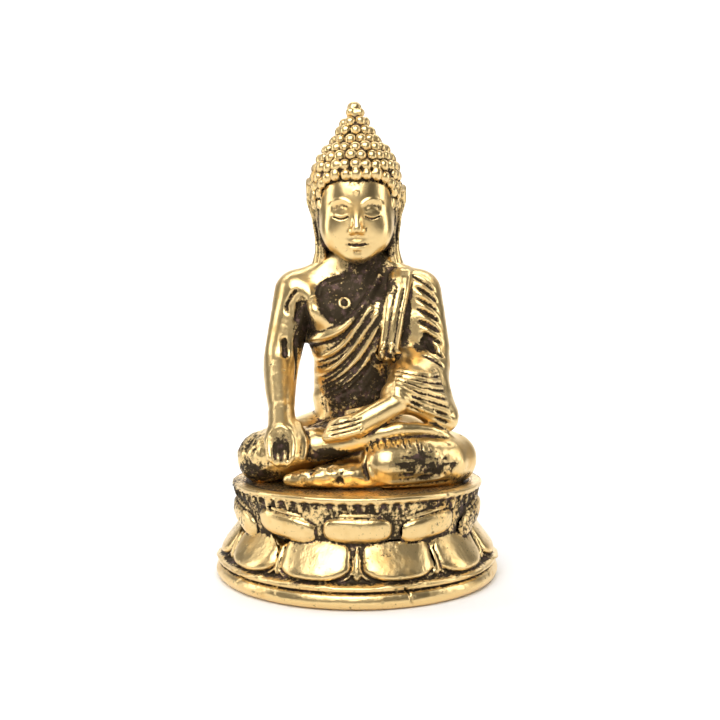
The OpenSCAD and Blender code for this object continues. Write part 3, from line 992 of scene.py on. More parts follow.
def draped_arm():
    """The left arm in its sleeve, and the cloth that falls from the forearm over the thigh."""
    x, y, z = Pose.shoulder
    ex, ey, ez = Pose.elbow
    arm = chain([
        (x, y, z, 2.3), (x + 0.75, y - 0.3, z - 3.2, 2.0), (ex - 0.4, ey, ez - 0.2, 1.85),
        (4.8, -1.9, 16.1, 1.75), (3.3, -3.6, 14.9, 1.35),
    ], 0.8, 2)
    cloth = [
        Limb((6.0, 0.3, 17.2), 1.6, (7.1, -1.8, 13.4), 1.25, 0.9),
        Limb((3.2, -4.2, 15.1), 1.0, (7.4, -2.9, 12.9), 0.85, 0.9),
        Limb((5.0, -2.6, 15.2), 1.5, (6.8, -2.2, 13.4), 1.3, 0.8),
        Limb((4.4, 0.9, 21.0), 1.4, (3.6, 0.7, 17.5), 1.4, 0.9),
        Limb((4.2, -0.4, 17.6), 1.2, (3.6, -1.6, 15.8), 1.2, 0.9),
    ]
    return arm + cloth


def resting_hand():
    """The left hand in the lap, its fingers towards the right knee."""
    palm = chain([
        (3.2, -4.7, 14.5, 0.95), (1.4, -5.2, 13.5, 0.95), (0.1, -5.3, 12.7, 0.95),
    ], 0.4, 3)
    fingers = []
    for i in range(4):
        y, low = -6.0 + 0.3 * i, 12.0 + 0.33 * i
        tip = (-2.5 + 0.15 * i, y + 0.25, low - 0.25, 0.33)
        fingers += chain([(0.1, y, low + 0.35, 0.42), (-1.3, y, low, 0.4), tip], 0.12)
    thumb = chain([(1.2, -4.6, 13.9, 0.45), (-0.7, -4.5, 13.55, 0.36)], 0.2)
    return palm + fingers + thumb


def lower_leg():
    """The left leg, under: thigh, knee, robed shin and the foot that shows in front."""
    hx, hy, hz = Pose.hip
    kx, ky, kz = Pose.knee
    return chain([
        (hx, hy, hz, 2.9), (kx, ky, kz, 2.2), (5.2, -3.9, 9.65, 2.15), (2.35, -5.1, 9.6, 1.95),
    ], 0.9, 2) + chain([
        (0.9, -5.4, 8.75, 1.05), (-1.8, -5.75, 8.75, 0.92), (-4.3, -5.5, 8.5, 0.7),
        (-5.5, -5.1, 8.35, 0.45),
    ], 0.35, 2) + [
        Egg((0, -0.8, 10.6), (5.2, 3.7, 2.5), blend=0.9),
    ]


def upper_leg():
    """The right leg, over: thigh, knee, shin and the foot that lies on the left thigh."""
    hx, hy, hz = Pose.hip
    kx, ky, kz = Pose.knee
    leg = chain([
        (-hx, hy, hz, 2.9), (-kx, ky, kz + 0.1, 2.25), (-4.8, -3.3, 10.6, 1.9),
        (-2.0, -4.3, 11.0, 1.1), (0.6, -4.6, 11.6, 0.8),
    ], 0.7, 2)
    foot = chain([
        (0.6, -4.6, 11.6, 0.75), (3.4, -4.7, 12.35, 0.6), (5.9, -3.9, 12.2, 0.5),
        (7.6, -3.0, 11.5, 0.36),
    ], 0.35, 2)
    return leg + foot


def folded_cloth():
    """The folded cloth that lies over the left shoulder and hangs down the chest."""
    strands = []
    for side, radius in ((-0.5, 0.5), (0.0, 0.56), (0.5, 0.5)):
        strands += chain([
            (3.9 + side, 3.9, 22.6, radius), (3.9 + side, 3.2, 24.8, radius),
            (3.85 + side, 1.6, 25.75, radius), (3.75 + side, 0.1, 25.3, radius),
            (3.5 + side, -0.8, 24.0, radius), (3.15 + 0.9 * side, -1.35, 22.2, radius),
            (2.85 + 0.8 * side, -1.45, 20.2, radius), (2.6 + 0.7 * side, -1.3, 18.5, radius),
        ], 0.8, 2)
    return strands


BODY = {
    "torso": trunk, "right_arm": bare_arm, "left_sleeve": draped_arm, "left_hand": resting_hand,
    "left_leg": lower_leg, "right_leg": upper_leg, "shoulder_cloth": folded_cloth,
}


def body_field(parts):
    """One field for the whole figure, each part joined to the rest by a small fillet."""
    def field(p):
        total = None
        for lumps in parts.values():
            own = form(lumps, p)
            total = own if total is None else soft_join(total, own, 0.22)
        return total
    return field


def round_trunk(*places):
    """A smooth path round the trunk, from bearings in degrees (0 in front) and heights."""
    lumps = trunk()
    path = smooth_path([(bearing, z, 0.0) for bearing, z in places], 6)
    way = outward(np.radians(path[:, 0]))
    return drop_onto(lambda p: form(lumps, p), upright(1.6, path[:, 1]) + 9.0 * way, -way)


def near_trunk(p):
    """1 on the trunk's own surface and 0 away from it, so that its folds stay off the arms."""
    return ramp(0.5 - np.abs(form(trunk(), p)), 0.0, 0.2) * ramp(p[:, 0], -4.9, -4.4)


# The heights of each fold of the robe at its bearings round the trunk, in degrees
FOLDS = (
    ((26, 22.6), (8, 21.3), (-20, 19.4), (-50, 18.4), (-80, 18.3), (-130, 19.9), (-180, 22.0),
     (-210, 23.4)),
    ((32, 22.2), (14, 20.5), (-14, 18.6), (-50, 17.1), (-82, 16.9), (-130, 18.2), (-180, 20.2),
     (-212, 22.0)),
    ((36, 21.4), (20, 19.4), (-6, 17.7), (-46, 16.3), (-84, 15.9), (-130, 16.8), (-180, 18.5),
     (-214, 20.4)),
    ((37, 20.2), (24, 18.4), (4, 17.1), (-34, 15.7), (-84, 14.8), (-130, 15.3), (-180, 16.8),
     (-214, 18.8)),
)


def robe_folds(marks, sizes):
    """Folds that fan out from the shoulder cloth round the chest, and run up the back."""
    x, y = marks.points[:, 0], marks.points[:, 1]
    near = near_trunk(marks.points)
    for i, places in enumerate(FOLDS):
        path = round_trunk(*places)
        front = np.maximum(ramp(x, -4.0 + 0.4 * i, -2.4 + 0.3 * i), ramp(y, 1.5, 3.0))
        lift = sizes.fold_rise * (1.0 - 0.12 * i) * (0.15 + 0.85 * front) * near
        marks.draw(path, sizes.fold_width, lift, taper=0.04)
        marks.draw(lowered(path, 0.62), 0.24, 0.45 * lift * front, taper=0.04)
        for drop, deep in ((0.4, 0.35), (0.86, 0.6)):
            dark = 1.6 * deep * front * near
            marks.draw(lowered(path, drop), 0.22, -deep * lift * front, dark, 0.05)


def robe_hem(marks):
    """The robe's raised edge, from the left shoulder under the right arm and over the back."""
    near = near_trunk(marks.points)
    path = round_trunk(
        (52, 25.4), (35, 24.2), (14, 22.7), (-10, 21.3), (-32, 20.3), (-60, 19.8), (-90, 19.9),
        (-130, 21.6), (-165, 23.9), (-190, 25.6))
    for drop, width, height, dark in (
            (0.0, 0.6, 0.36, 0.0), (-0.62, 0.3, -0.12, 0.0), (0.55, 0.25, -0.12, 0.0),
            (-0.62, 0.35, 0.0, 0.6), (0.55, 0.28, 0.0, 0.5)):
        marks.draw(lowered(path, drop), width, height * near, dark * near, 0.02)


def breast(marks):
    """The bright edge down the right side of the chest, and a small ring on the breast."""
    edge = marks.front((-4.5, 25.2), (-4.15, 23.6), (-3.6, 22.0), (-2.75, 20.4))
    marks.draw(edge, 0.85, 0.4, taper=0.4)
    inner = marks.front(
        (-0.3, 25.3), (-1.8, 24.9), (-3.1, 24.3), (-3.2, 23.2), (-2.7, 21.9), (-1.9, 20.9))
    marks.draw(inner, 0.35, -0.13, taper=0.1)
    # Darkens the inner edge of the chest: patina, and partly a painted dark reflection.
    marks.draw(inner, 0.45, 0.0, 0.7, 0.05)
    middle = drop_onto(marks.field, [(-1.1, -12.0, 22.75)], (0.0, 1.0, 0.0))[0]
    off = np.linalg.norm(marks.points - middle, axis=1)
    ring = bump((off - 0.44) / 0.15)
    marks.rise += 0.16 * ring + 0.1 * bump(off / 0.2)
    marks.darkening += 0.6 * bump(off / 0.4) - 3.2 * ring


def sleeve_folds(marks):
    """Short slanting folds down the outside of the sleeve, and the deep hollow at its elbow."""
    hands = np.random.default_rng(8)
    for i in range(8):
        z = 25.3 - 0.98 * i
        x, drop = 4.55 + 0.12 * i + hands.uniform(-0.15, 0.15), hands.uniform(1.1, 1.7)
        path = marks.front((x, z), (x + 1.2, z - 0.45 * drop), (x + 2.3, z - drop))
        marks.draw(path, hands.uniform(0.22, 0.32), -0.24, 0.95, 0.35)
        marks.draw(path + np.array([0.1, 0.0, 0.4]), 0.35, 0.1, taper=0.3)
    marks.draw(marks.front((5.4, 19.9), (6.1, 19.4), (6.8, 18.4)), 0.6, -0.55, 1.3, 0.2)


def cuff_folds(marks):
    """Folds that fan out from the cuff over the cloth under the forearm, with long pits between."""
    for i in range(7):
        spread = i / 6.0
        middle = (5.2 + 0.1 * i, 14.0 + 2.7 * spread)
        end = (8.0 - 0.2 * i, 12.9 + 4.0 * spread)
        path = marks.front((2.7, 15.3 + 0.3 * i), middle, end)
        marks.draw(path, 0.32, 0.2, taper=0.08)
        for first, last in ((3, 7), (8, 12)):
            marks.draw(lowered(path, 0.33)[first:last], 0.2, -0.28, 1.1, 0.35)


def shin_hem(marks):
    """The hem along the top of the left shin with faint pleats, and the fold under it."""
    hands = np.random.default_rng(12)
    for i in range(10):
        x = 1.1 + 0.5 * i + hands.uniform(-0.12, 0.12)
        z = 11.4 + 0.35 * math.sin(0.35 * i) - 0.03 * i
        low = z - hands.uniform(0.5, 1.0)
        path = marks.front((x, z + 0.3), (x + 0.1, z - 0.3), (x + 0.28, low))
        marks.draw(path, 0.13, -hands.uniform(0.04, 0.13), 0.45, 0.3)
    marks.draw(marks.front((1.9, 8.35), (4.5, 8.4), (7.2, 8.6)), 0.3, 0.18)
    marks.draw(marks.front((1.6, 7.95), (4.5, 7.95), (7.6, 8.2)), 0.22, -0.25, 1.0)
    edge = marks.front((0.85, 11.0), (0.55, 9.8), (0.95, 8.4))
    marks.draw(edge + np.array([0.35, 0.0, 0.0]), 0.35, 0.2)
    marks.draw(edge, 0.25, -0.3)
    streaks = ramp(noise(marks.points * np.array([0.35, 1.0, 1.6]), 0.35, 71), -0.2, 0.5)
    patchy = patch(marks.points, (5.4, -5.9, 9.6), (4.4, 2.8, 1.6))
    marks.rise -= 0.08 * patchy * streaks
    marks.darkening += patchy * (0.7 + 1.3 * streaks)


def cloth_pleats(marks):
    """Fine pleats down the folded shoulder cloth, and its curled ends."""
    for x in (-0.3, 0.35):
        path = marks.front((3.75 + x, 24.6), (3.2 + x, 22.2), (2.9 + x, 20.2), (2.65 + x, 18.6))
        marks.draw(path, 0.15, -0.1, 0.8, 0.2)
    for x in (-1.15, 1.2):
        path = marks.front((3.5 + x, 24.6), (3.15 + x, 22.2), (2.85 + x, 20.2), (2.6 + x, 18.8))
        marks.draw(path, 0.3, 0.0, 0.8, 0.1)
    for x in (-0.75, -0.1, 0.55):
        curl = marks.front(
            (2.5 + x, 19.4), (2.2 + x, 18.6), (2.55 + x, 18.0), (2.95 + x, 18.4), (2.7 + x, 18.75))
        marks.draw(curl, 0.24, 0.3, taper=0.08)
        marks.draw(lowered(curl, 0.3), 0.3, 0.0, 0.6, 0.1)


def arm_hollows(marks):
    """Deep creases inside the right armpit and above the elbow."""
    for width, deep, *places in (
            (0.26, 0.3, (-5.0, 24.1), (-5.6, 23.5), (-6.1, 22.6), (-5.9, 21.7)),
            (0.4, 0.3, (-4.95, 23.2), (-5.1, 22.0), (-5.25, 21.0)),
            (0.42, 0.35, (-6.35, 20.0), (-6.25, 19.0), (-6.1, 17.9)),
            (0.3, 0.15, (-5.3, 20.4), (-5.35, 18.9), (-5.2, 17.2), (-5.25, 15.6))):
        marks.draw(marks.front(*places), width, -deep, 1.2, 0.25)


def hands_and_fingers(marks):
    """The raised edge and faint fingers of the right hand, and the left hand's finger gaps."""
    outline = marks.front(
        (-5.2, 12.3), (-6.1, 12.75), (-6.9, 12.0), (-6.95, 10.8), (-6.4, 9.7), (-5.6, 9.55),
        (-5.05, 10.2), (-4.95, 11.4), (-5.2, 12.3))
    marks.draw(outline, 0.3, 0.1, taper=0.0)
    # A painted dark reflection on the back of the right hand, inside its raised edge.
    marks.darkening += 1.15 * patch(marks.points, (-5.95, -6.0, 11.15), (1.0, 1.3, 1.55))
    for x, low in ((-6.45, 9.9), (-5.95, 9.7), (-5.45, 9.9)):
        gap = marks.front((x, 11.6), (x + 0.02, 10.6), (x + 0.05, low))
        marks.draw(gap, 0.17, -0.13, 0.5, 0.2)
    for i in range(3):
        low = 12.2 + 0.35 * i
        gap = marks.front((0.5, low + 0.5), (-0.9, low + 0.12), (-2.3, low - 0.2))
        marks.draw(gap, 0.17, -0.14, 0.7)


STROKES = (
    robe_hem, breast, sleeve_folds, cuff_folds, shin_hem, cloth_pleats, arm_hollows,
    hands_and_fingers,
)

# Soft dark patches: centre, radii and strength
DARK_PATCHES = (
    # The first three darken the chest and the base of the neck: patina, and partly a painted dark
    # reflection.
    ((-1.1, -1.0, 23.2), (3.3, 4.0, 3.1), 2.2),
    ((1.2, -1.2, 24.3), (3.2, 2.6, 1.9), 1.9),
    ((0.9, -0.4, 26.5), (3.2, 2.8, 1.7), 1.6),
    ((-0.3, -1.4, 14.7), (6.0, 3.6, 3.0), 1.15),
    ((-2.4, -3.0, 13.3), (3.4, 3.2, 1.7), 0.5),
    ((1.6, -1.2, 16.6), (2.4, 2.0, 2.2), 0.8),
    ((-2.2, -5.2, 10.35), (3.0, 1.9, 0.95), 1.4),
    ((1.8, -4.4, 12.9), (4.2, 1.6, 0.6), 0.9),
    ((-4.5, -0.6, 20.4), (1.5, 3.6, 4.4), 1.4),
    ((4.1, -1.0, 21.2), (0.8, 1.8, 3.2), 1.3),
    ((3.1, 0.7, 25.4), (0.8, 1.5, 0.9), 1.6),
    ((5.6, -0.6, 18.9), (1.2, 1.8, 1.0), 1.0),
    ((-8.8, -1.6, 10.6), (2.8, 4.2, 3.2), 0.75),
    ((-8.0, -3.5, 8.4), (3.6, 3.8, 1.5), 0.9),
    ((-2.6, -6.2, 8.5), (4.2, 2.0, 1.3), 0.5),
    ((-3.4, -2.2, 12.6), (1.8, 2.6, 1.8), 0.7),
    ((9.0, -3.5, 8.2), (3.0, 3.0, 0.9), 0.8),
    ((0.0, 4.6, 24.0), (4.5, 2.5, 3.0), 0.25),
)

# Places that cast rough: centre, radii and height of the grain in mm
ROUGH = (
    ((-0.4, -1.6, 14.6), (5.6, 3.6, 2.8), 0.2),
    ((-2.6, -3.0, 13.0), (3.8, 3.4, 2.0), 0.24),
    ((-8.2, -2.6, 10.0), (3.4, 4.4, 3.4), 0.2),
    ((-2.4, -6.2, 9.0), (4.8, 2.4, 2.0), 0.22),
    ((0.9, -1.2, 24.6), (3.2, 2.0, 2.6), 0.12),
    ((6.5, -4.6, 9.0), (3.4, 2.6, 1.6), 0.07),
    ((6.3, 0.0, 21.0), (2.4, 2.6, 5.0), 0.06),
    ((1.5, -4.6, 12.8), (4.0, 1.6, 1.2), 0.1),
)


def sculpt_body(sizes):
    """The figure's skin below the neck, and which part each point belongs to."""
    parts = {name: make() for name, make in BODY.items()}
    field = body_field(parts)
    mesh = clay([lump for lumps in parts.values() for lump in lumps], sizes.grain)
    edges = read_edges(mesh)
    points = relax(settle(read_points(mesh), field, edges), edges, 5)
    write_points(mesh, points)
    normals = read_normals(mesh)
    marks = Marks(field, points, -14.0)
    robe_folds(marks, sizes)
    for make in STROKES:
        make(marks)
    darkening = marks.darkening
    for centre, radii, strength in DARK_PATCHES:
        darkening = darkening + strength * patch(points, centre, radii)
    grain = 0.012 * rough(points, 0.8, 3) + 0.015 * noise(points, 1.8, 7)
    lumpy = rough(points, 0.6, 11)
    for centre, radii, height in ROUGH:
        here = height * patch(points, centre, radii)
        grain = grain + here * lumpy
        darkening = darkening - 4.0 * here * lumpy
    points = points + (marks.rise + grain)[:, None] * normals
    points[:, 2] = np.maximum(points[:, 2], Pose.floor - 0.15)
    write_points(mesh, points)
    # Patina in fine hollows, and painted shade in broad hollows where the limbs meet the body.
    patina_and_painted_shade(mesh, darkening)
    own = np.stack([form(lumps, points) for lumps in parts.values()], axis=1)
    return mesh, tidy_labels(relax(own, edges, 3).argmin(axis=1), edges, len(parts))


class STATUETTE_OT_body(bpy.types.Operator):
    """Sculpt the figure below its neck and cut it into its pieces"""

    bl_idname = "statuette.body"
    bl_label = "Body and robe"

    def execute(self, context):
        mesh, label = sculpt_body(context.scene.statuette_figure)
        finish = brass("Figure brass", break_up=0.9, grain=0.6, pits=0.7)
        cut_and_place(mesh, label, dict.fromkeys(BODY, "polished_brass"), finish, 0.6)
        return {"FINISHED"}


# ---------------------------------------------------------------- head

class Skull:
    """The head's own frame, in millimetres, with the chin near its origin, and its levels."""

    place = np.array((0.0, 0.9, ARM_HIGH[2] + 0.17))
    turn = np.array(Euler((math.radians(9), math.radians(-1), 0.0), "XYZ").to_matrix())
    hairline = 7.3
    cap_y = 0.25
    tip = 13.05


def from_head(points):
    """Points of the head's own frame on the figure."""
    return points @ Skull.turn.T + Skull.place


def face_and_neck():
    """A calm, even face on a round skull, and the neck under it."""
    lumps = [
        Egg((0, -0.1, 5.7), (3.3, 3.3, 3.7)),
        Egg((0, -0.5, 3.7), (3.0, 2.6, 3.3), blend=1.0),
        Egg((0, -1.9, 1.0), (1.25, 0.95, 0.85), blend=0.9),
        Limb((0, 0.9, -1.6), 2.15, (0, 0.8, 3.0), 2.0, 0.5),
        Egg((0, 1.5, 0.6), (3.3, 1.5, 3.4), blend=0.6),
        Limb((0, -2.9, 4.9), 0.3, (0, -3.45, 3.2), 0.36, 0.4),
        Egg((0, -3.5, 3.0), (0.42, 0.36, 0.34), blend=0.25),
        Egg((0, -2.58, 1.92), (0.74, 0.4, 0.2), blend=0.3),
        Egg((0, -2.58, 1.48), (0.58, 0.44, 0.24), blend=0.3),
    ]
    for side in (-1, 1):
        lumps += [
            Egg((1.4 * side, -1.6, 2.85), (1.45, 1.2, 1.7), blend=1.0),
            Egg((0.44 * side, -3.1, 2.88), (0.3, 0.34, 0.26), blend=0.22),
            Egg((1.3 * side, -2.5, 4.2), (0.78, 0.5, 0.48), blend=0.2),
        ]
    return lumps


def sided(side, points):
    """The points as they are for side 1, or on the other side of the head for side -1."""
    return [(side * x, *rest) for x, *rest in points]


def long_ear(side):
    """A long ear: the outer rim, the front edge and the lobe that hangs to the shoulder."""
    top = 6.5 if side > 0 else 7.2
    outer = chain(sided(side, [
        (3.7, -0.35, top - 0.1, 0.3), (4.0, 0.45, top, 0.36), (4.0, 0.75, 5.5, 0.36),
        (3.65, 0.55, 4.2, 0.34), (3.4, 0.35, 2.6, 0.34), (3.3, 0.2, 1.2, 0.36),
        (3.45, 0.25, 0.0, 0.4), (3.95, 0.5, -1.2, 0.55), (4.7, 0.7, -2.1, 0.7),
    ]), 0.18)
    front = chain(sided(side, [
        (3.55, -0.6, 6.0, 0.26), (3.2, -0.6, 4.4, 0.28), (3.02, -0.5, 2.6, 0.28),
        (3.05, -0.2, 0.8, 0.36), (3.3, 0.0, -0.4, 0.4),
    ]), 0.15)
    return outer + front + [
        Egg((3.2 * side, 0.35, 4.6), (0.45, 0.85, 1.8), blend=0.3),
        Limb((3.0 * side, 0.7, 1.6), 0.5, (3.6 * side, 0.9, -1.2), 0.9, 0.5),
    ]


def cap():
    """The hair without its curls: round at the back, and a straight cone to the tip."""
    y = Skull.cap_y
    return [
        Limb((0, y + 0.1, 3.6), 3.5, (0, y, 7.2), 3.58, 0.5),
        Limb((0, y, 7.9), 3.25, (0, y, Skull.tip - 0.3), 0.5, 0.5),
    ]


def tip_beads():
    """The small lumpy bead on the tip of the hair."""
    y = Skull.cap_y
    return [
        Egg((0, y, Skull.tip - 0.35), (0.72, 0.72, 0.6)),
        Egg((-0.36, y - 0.35, Skull.tip - 0.2), (0.42, 0.42, 0.4), blend=0.06),
        Egg((0.42, y - 0.28, Skull.tip - 0.25), (0.42, 0.42, 0.4), blend=0.06),
        Egg((-0.04, y, Skull.tip + 0.2), (0.62, 0.62, 0.52), blend=0.08),
    ]


# The opening that keeps the face clear of hair
FACE_ARCH = Block((0, -4.8, Skull.hairline - 4.4), (3.15, 4.0, 4.4), 1.5)


def capped(p):
    """Distance to the hair, with the face left clear."""
    under = Egg((0, 0.2, -1.2), (5.0, 6.0, 2.6)).distance(p)
    return soft_carve(soft_carve(form(cap(), p), FACE_ARCH.distance(p), 0.12), under, 0.3)


HEAD = {
    "head": lambda p: form(face_and_neck(), p),
    "right_ear": lambda p: form(long_ear(-1), p),
    "left_ear": lambda p: form(long_ear(1), p),
    "hair_cap": capped,
    "finial": lambda p: form(tip_beads(), p),
}


# The head's pieces in the order of their labels, each with its material slot
HEAD_SLOTS = {
    **dict.fromkeys(HEAD, "polished_brass"), "hair_cap": "aged_brass", "hair_curls": "aged_brass"}
FACE, RIGHT_EAR, LEFT_EAR, HAIR, TIP, CURLS = range(len(HEAD_SLOTS))


def head_field(p):
    """One field for the whole head."""
    total = None
    for own in HEAD.values():
        total = own(p) if total is None else soft_join(total, own(p), 0.12)
    return total


def on_cap(bearing, height):
    """Places on the hair from bearings in radians (0 in front) and heights."""
    way = outward(bearing)
    return drop_onto(lambda p: form(cap(), p), upright(Skull.cap_y, height) + 6.5 * way, -way)


def hairline_curls(radius):
    """Evenly spaced places along the edge of the hair over the face."""
    around, up = 97, 60
    bearing = np.repeat(np.radians(np.linspace(-62, 62, around)), up)
    spots = on_cap(bearing, np.tile(np.linspace(5.2, 8.2, up), around))
    clear = FACE_ARCH.distance(spots).reshape(around, up)
    first = np.argmax(clear > 0.4 * radius, axis=1)
    edge = spots.reshape(around, up, 3)[np.arange(around), first]
    gone = np.concatenate([[0], np.cumsum(np.linalg.norm(np.diff(edge, axis=0), axis=1))])
    stops = np.linspace(0, gone[-1], int(gone[-1] / (2.0 * radius)) + 1)
    return np.stack([np.interp(stops, gone, edge[:, i]) for i in range(3)], axis=1)


def curl_places(radius):
    """Where every curl sits: one row along the hairline, then staggered rings to the tip."""
    edge = hairline_curls(radius)
    spots = [edge]
    gap = 1.8 * radius
    for row in range(-8, 6):
        z = Skull.hairline + 0.95 + gap * row
        ring = on_cap(np.array([0.0]), np.array([z]))[0]
        count = max(4, int(2 * math.pi * abs(ring[1] - Skull.cap_y) / (2.02 * radius)))
        bearing = (np.arange(count) + 0.5 * (row % 2)) * 2 * math.pi / count
        places = on_cap(bearing, np.full(count, z))
        free = (FACE_ARCH.distance(places) > 0.6 * radius) & ((z > 4.8) | (places[:, 1] > 1.2))
        crowded = np.linalg.norm(places[:, None] - edge[None], axis=2).min(axis=1) < 1.5 * radius
        spots.append(places[free & ~crowded])
    return np.vstack(spots)


def curl_rise(points, radius):
    """How far the curls lift the hair, each a little different from the next."""
    rise = np.zeros(len(points))
    hands = np.random.default_rng(3)
    for spot in curl_places(radius):
        size = radius * hands.uniform(0.94, 1.12)
        spot = spot + hands.normal(0.0, 0.04, 3)
        off = np.linalg.norm(points - spot, axis=1) / (1.1 * size)
        dome = 0.95 * size * np.sqrt(np.clip(1.0 - off * off, 0.0, 1.0))
        rise = np.maximum(rise, dome)
    return rise


# The face's lines: width, height, soot and taper, and their places as x and z. The first ones
# are on both sides: eyebrow, hollow over the eye, eyelid and its edge, nostril, mouth corner.
PAIRED_LINES = (
    (0.2, 0.1, 0.0, 0.15, (0.35, 4.85), (0.8, 5.3), (1.5, 5.45), (2.35, 5.05)),
    (0.3, -0.07, 0.45, 0.15, (0.6, 4.72), (1.3, 4.98), (2.1, 4.68)),
    (0.13, -0.12, 1.5, 0.1, (0.6, 4.1), (1.3, 3.86), (2.1, 4.12)),
    (0.12, 0.06, 0.0, 0.15, (0.55, 4.28), (1.3, 4.06), (2.15, 4.3)),
    (0.16, -0.05, 0.6, 0.15, (0.5, 2.62), (0.8, 2.85), (0.76, 3.2)),
    (0.16, -0.07, 0.5, 0.15, (0.82, 1.72), (1.0, 1.84)),
)
# The ones in the middle: mouth, hollow under it, groove over it.
MIDDLE_LINES = (
    (0.2, -0.13, 1.5, 0.1, (-0.86, 1.82), (-0.35, 1.7), (0.0, 1.74), (0.35, 1.7), (0.86, 1.82)),
    (0.24, -0.05, 0.25, 0.15, (-0.4, 1.14), (0.0, 1.1), (0.4, 1.14)),
    (0.14, -0.04, 0.2, 0.0, (0.0, 2.55), (0.0, 2.2)),
)


def face_strokes(marks):
    """Eyebrows, eyelids, mouth, the rings of the neck and the hollows of the ears."""
    for side in (-1, 1):
        for width, height, dark, taper, *places in PAIRED_LINES:
            path = marks.front(*sided(side, places))
            marks.draw(path, width, height, dark, taper)
    for width, height, dark, taper, *places in MIDDLE_LINES:
        marks.draw(marks.front(*places), width, height, dark, taper)
    brow = drop_onto(marks.field, [(0.0, marks.start, 6.0)], (0.0, 1.0, 0.0))[0]
    marks.rise += 0.18 * bump(np.linalg.norm(marks.points - brow, axis=1) / 0.28)
    way = outward(np.radians(np.linspace(-110, 110, 24)))
    for z in (-0.75, -0.15):
        marks.draw(np.array([0.0, 0.75, z]) + 2.0 * way, 0.26, -0.12, 0.6)
    for side in (-1, 1):
        for offset, width in ((0.0, 0.34), (0.35, 0.2)):
            hollow = smooth_path(sided(side, [
                (5.6, 0.1 + offset, 5.6), (5.3, 0.15 + offset, 4.4), (5.0, 0.1, 3.0),
                (4.9, -0.02, 1.6)]))
            marks.draw(drop_onto(marks.field, hollow, (-side, 0.0, 0.0)), width, -0.16, 0.6)


def head_darkening(points, lines, bare_hair):
    """How much darker the head is painted: patina in its lines and between the curls, darker on the
    neck and across the eyes, and a painted dark reflection on the brow.
    """
    neck = bump((points[:, 2] + 0.2) / 1.3) * (np.abs(points[:, 0]) < 3.2)
    eyes = patch(points, (0, -3.0, 4.5), (2.6, 1.2, 0.6))
    # The brow patch is a painted dark reflection.
    forehead = patch(points, (0, -3.2, 6.8), (2.3, 1.6, 0.8))
    return lines + 0.7 * bare_hair + 0.8 * neck + 0.35 * eyes + 0.45 * forehead


def sculpt_head(sizes):
    """The head's skin, and which piece each point belongs to."""
    lumps = face_and_neck() + long_ear(-1) + long_ear(1) + cap() + tip_beads()
    mesh = clay(lumps, sizes.face_grain)
    edges = read_edges(mesh)
    points = settle(read_points(mesh), head_field, edges, 7)
    write_points(mesh, points)
    normals = read_normals(mesh)
    own = np.stack([piece(points) for piece in HEAD.values()], axis=1)
    label = relax(own, edges, 2).argmin(axis=1)
    marks = Marks(head_field, points, -7.0)
    face_strokes(marks)
    on_hair = ramp(own[:, FACE] - own[:, HAIR], -0.05, 0.12) * (label != TIP)
    curls = curl_rise(points, sizes.curl_radius) * on_hair * (np.abs(own[:, HAIR]) < 0.3)
    darkening = head_darkening(points, marks.darkening, on_hair * (curls < 0.08))
    rise = marks.rise + curls + 0.02 * noise(points, 1.7, 61) + 0.006 * rough(points, 0.5, 63)
    points = relax(points + rise[:, None] * normals, edges, 1, 0.3)
    write_points(mesh, from_head(points))
    # Patina in fine hollows, and painted shade in broad hollows round the face and hair.
    patina_and_painted_shade(mesh, darkening, fine=7, broad=60)
    # Takes back much of the painted shade and patina on the face and the sides of the head, but not
    # along its drawn lines.
    less_darkening = 0.75 * patch(points, (0, -3.0, 3.6), (3.4, 2.8, 4.2))
    less_darkening = np.maximum(less_darkening, 0.5 * ramp(np.abs(points[:, 0]), 3.1, 3.6) * (label != HAIR))
    less_darkening = less_darkening * (1.0 - ramp(marks.darkening, 0.3, 0.9))
    patina_and_shade = read(mesh.attributes["patina_and_shade"].data, "value", 1)[:, 0]
    store(mesh, "patina_and_shade", np.clip(patina_and_shade * (1.0 - less_darkening), 0.0, 1.0))
    label = np.where((curls > 0.1) & (label == HAIR), CURLS, label)
    return mesh, tidy_labels(label, edges, len(HEAD_SLOTS))


class STATUETTE_OT_head(bpy.types.Operator):
    """Sculpt the head with its ears and curled hair and cut it into its pieces"""

    bl_idname = "statuette.head"
    bl_label = "Head and hair"

    def execute(self, context):
        mesh, label = sculpt_head(context.scene.statuette_figure)
        finish = brass("Head brass", break_up=0.8, grain=0.25, pits=0.3)
        cut_and_place(mesh, label, HEAD_SLOTS, finish, 0.25)
        return {"FINISHED"}


# ---------------------------------------------------------------- stage, light and camera

class StatuetteStage(bpy.types.PropertyGroup):
    """Where the camera stands and how bright the light is."""

    distance: length("Camera distance", "From the figure's axis to the camera, in mm", 66.0)
    eye_height: length("Eye height", "Height of the camera above the floor, in mm", 17.9)
    side_step: length("Side step", "How far the camera stands to the right, in mm", 0.22)
    half_view: length("Half view", "Half of the width seen at the figure's axis, in mm", 31.1)
    key_power: length("Key power", "Power of the overhead softbox, in W", 0.162)
    fill_power: length("Fill power", "Power of each side softbox, in W", 0.03)
    paper_power: length("Paper power", "Power of the light on the backdrop, in W", 0.9)


def softbox(name, at, aim, size, power):
    """A square soft light at a place in millimetres, aimed at another."""
    light = bpy.data.lights.new(name, "AREA")
    light.shape = "RECTANGLE"
    light.size, light.size_y = size[0] * MM, size[1] * MM
    light.energy = power
    lamp = bpy.data.objects.new(name, light)
    lamp.location = Vector(at) * MM
    lamp.rotation_euler = (Vector(aim) - Vector(at)).to_track_quat("-Z", "Y").to_euler()
    bpy.context.collection.objects.link(lamp)
    return lamp


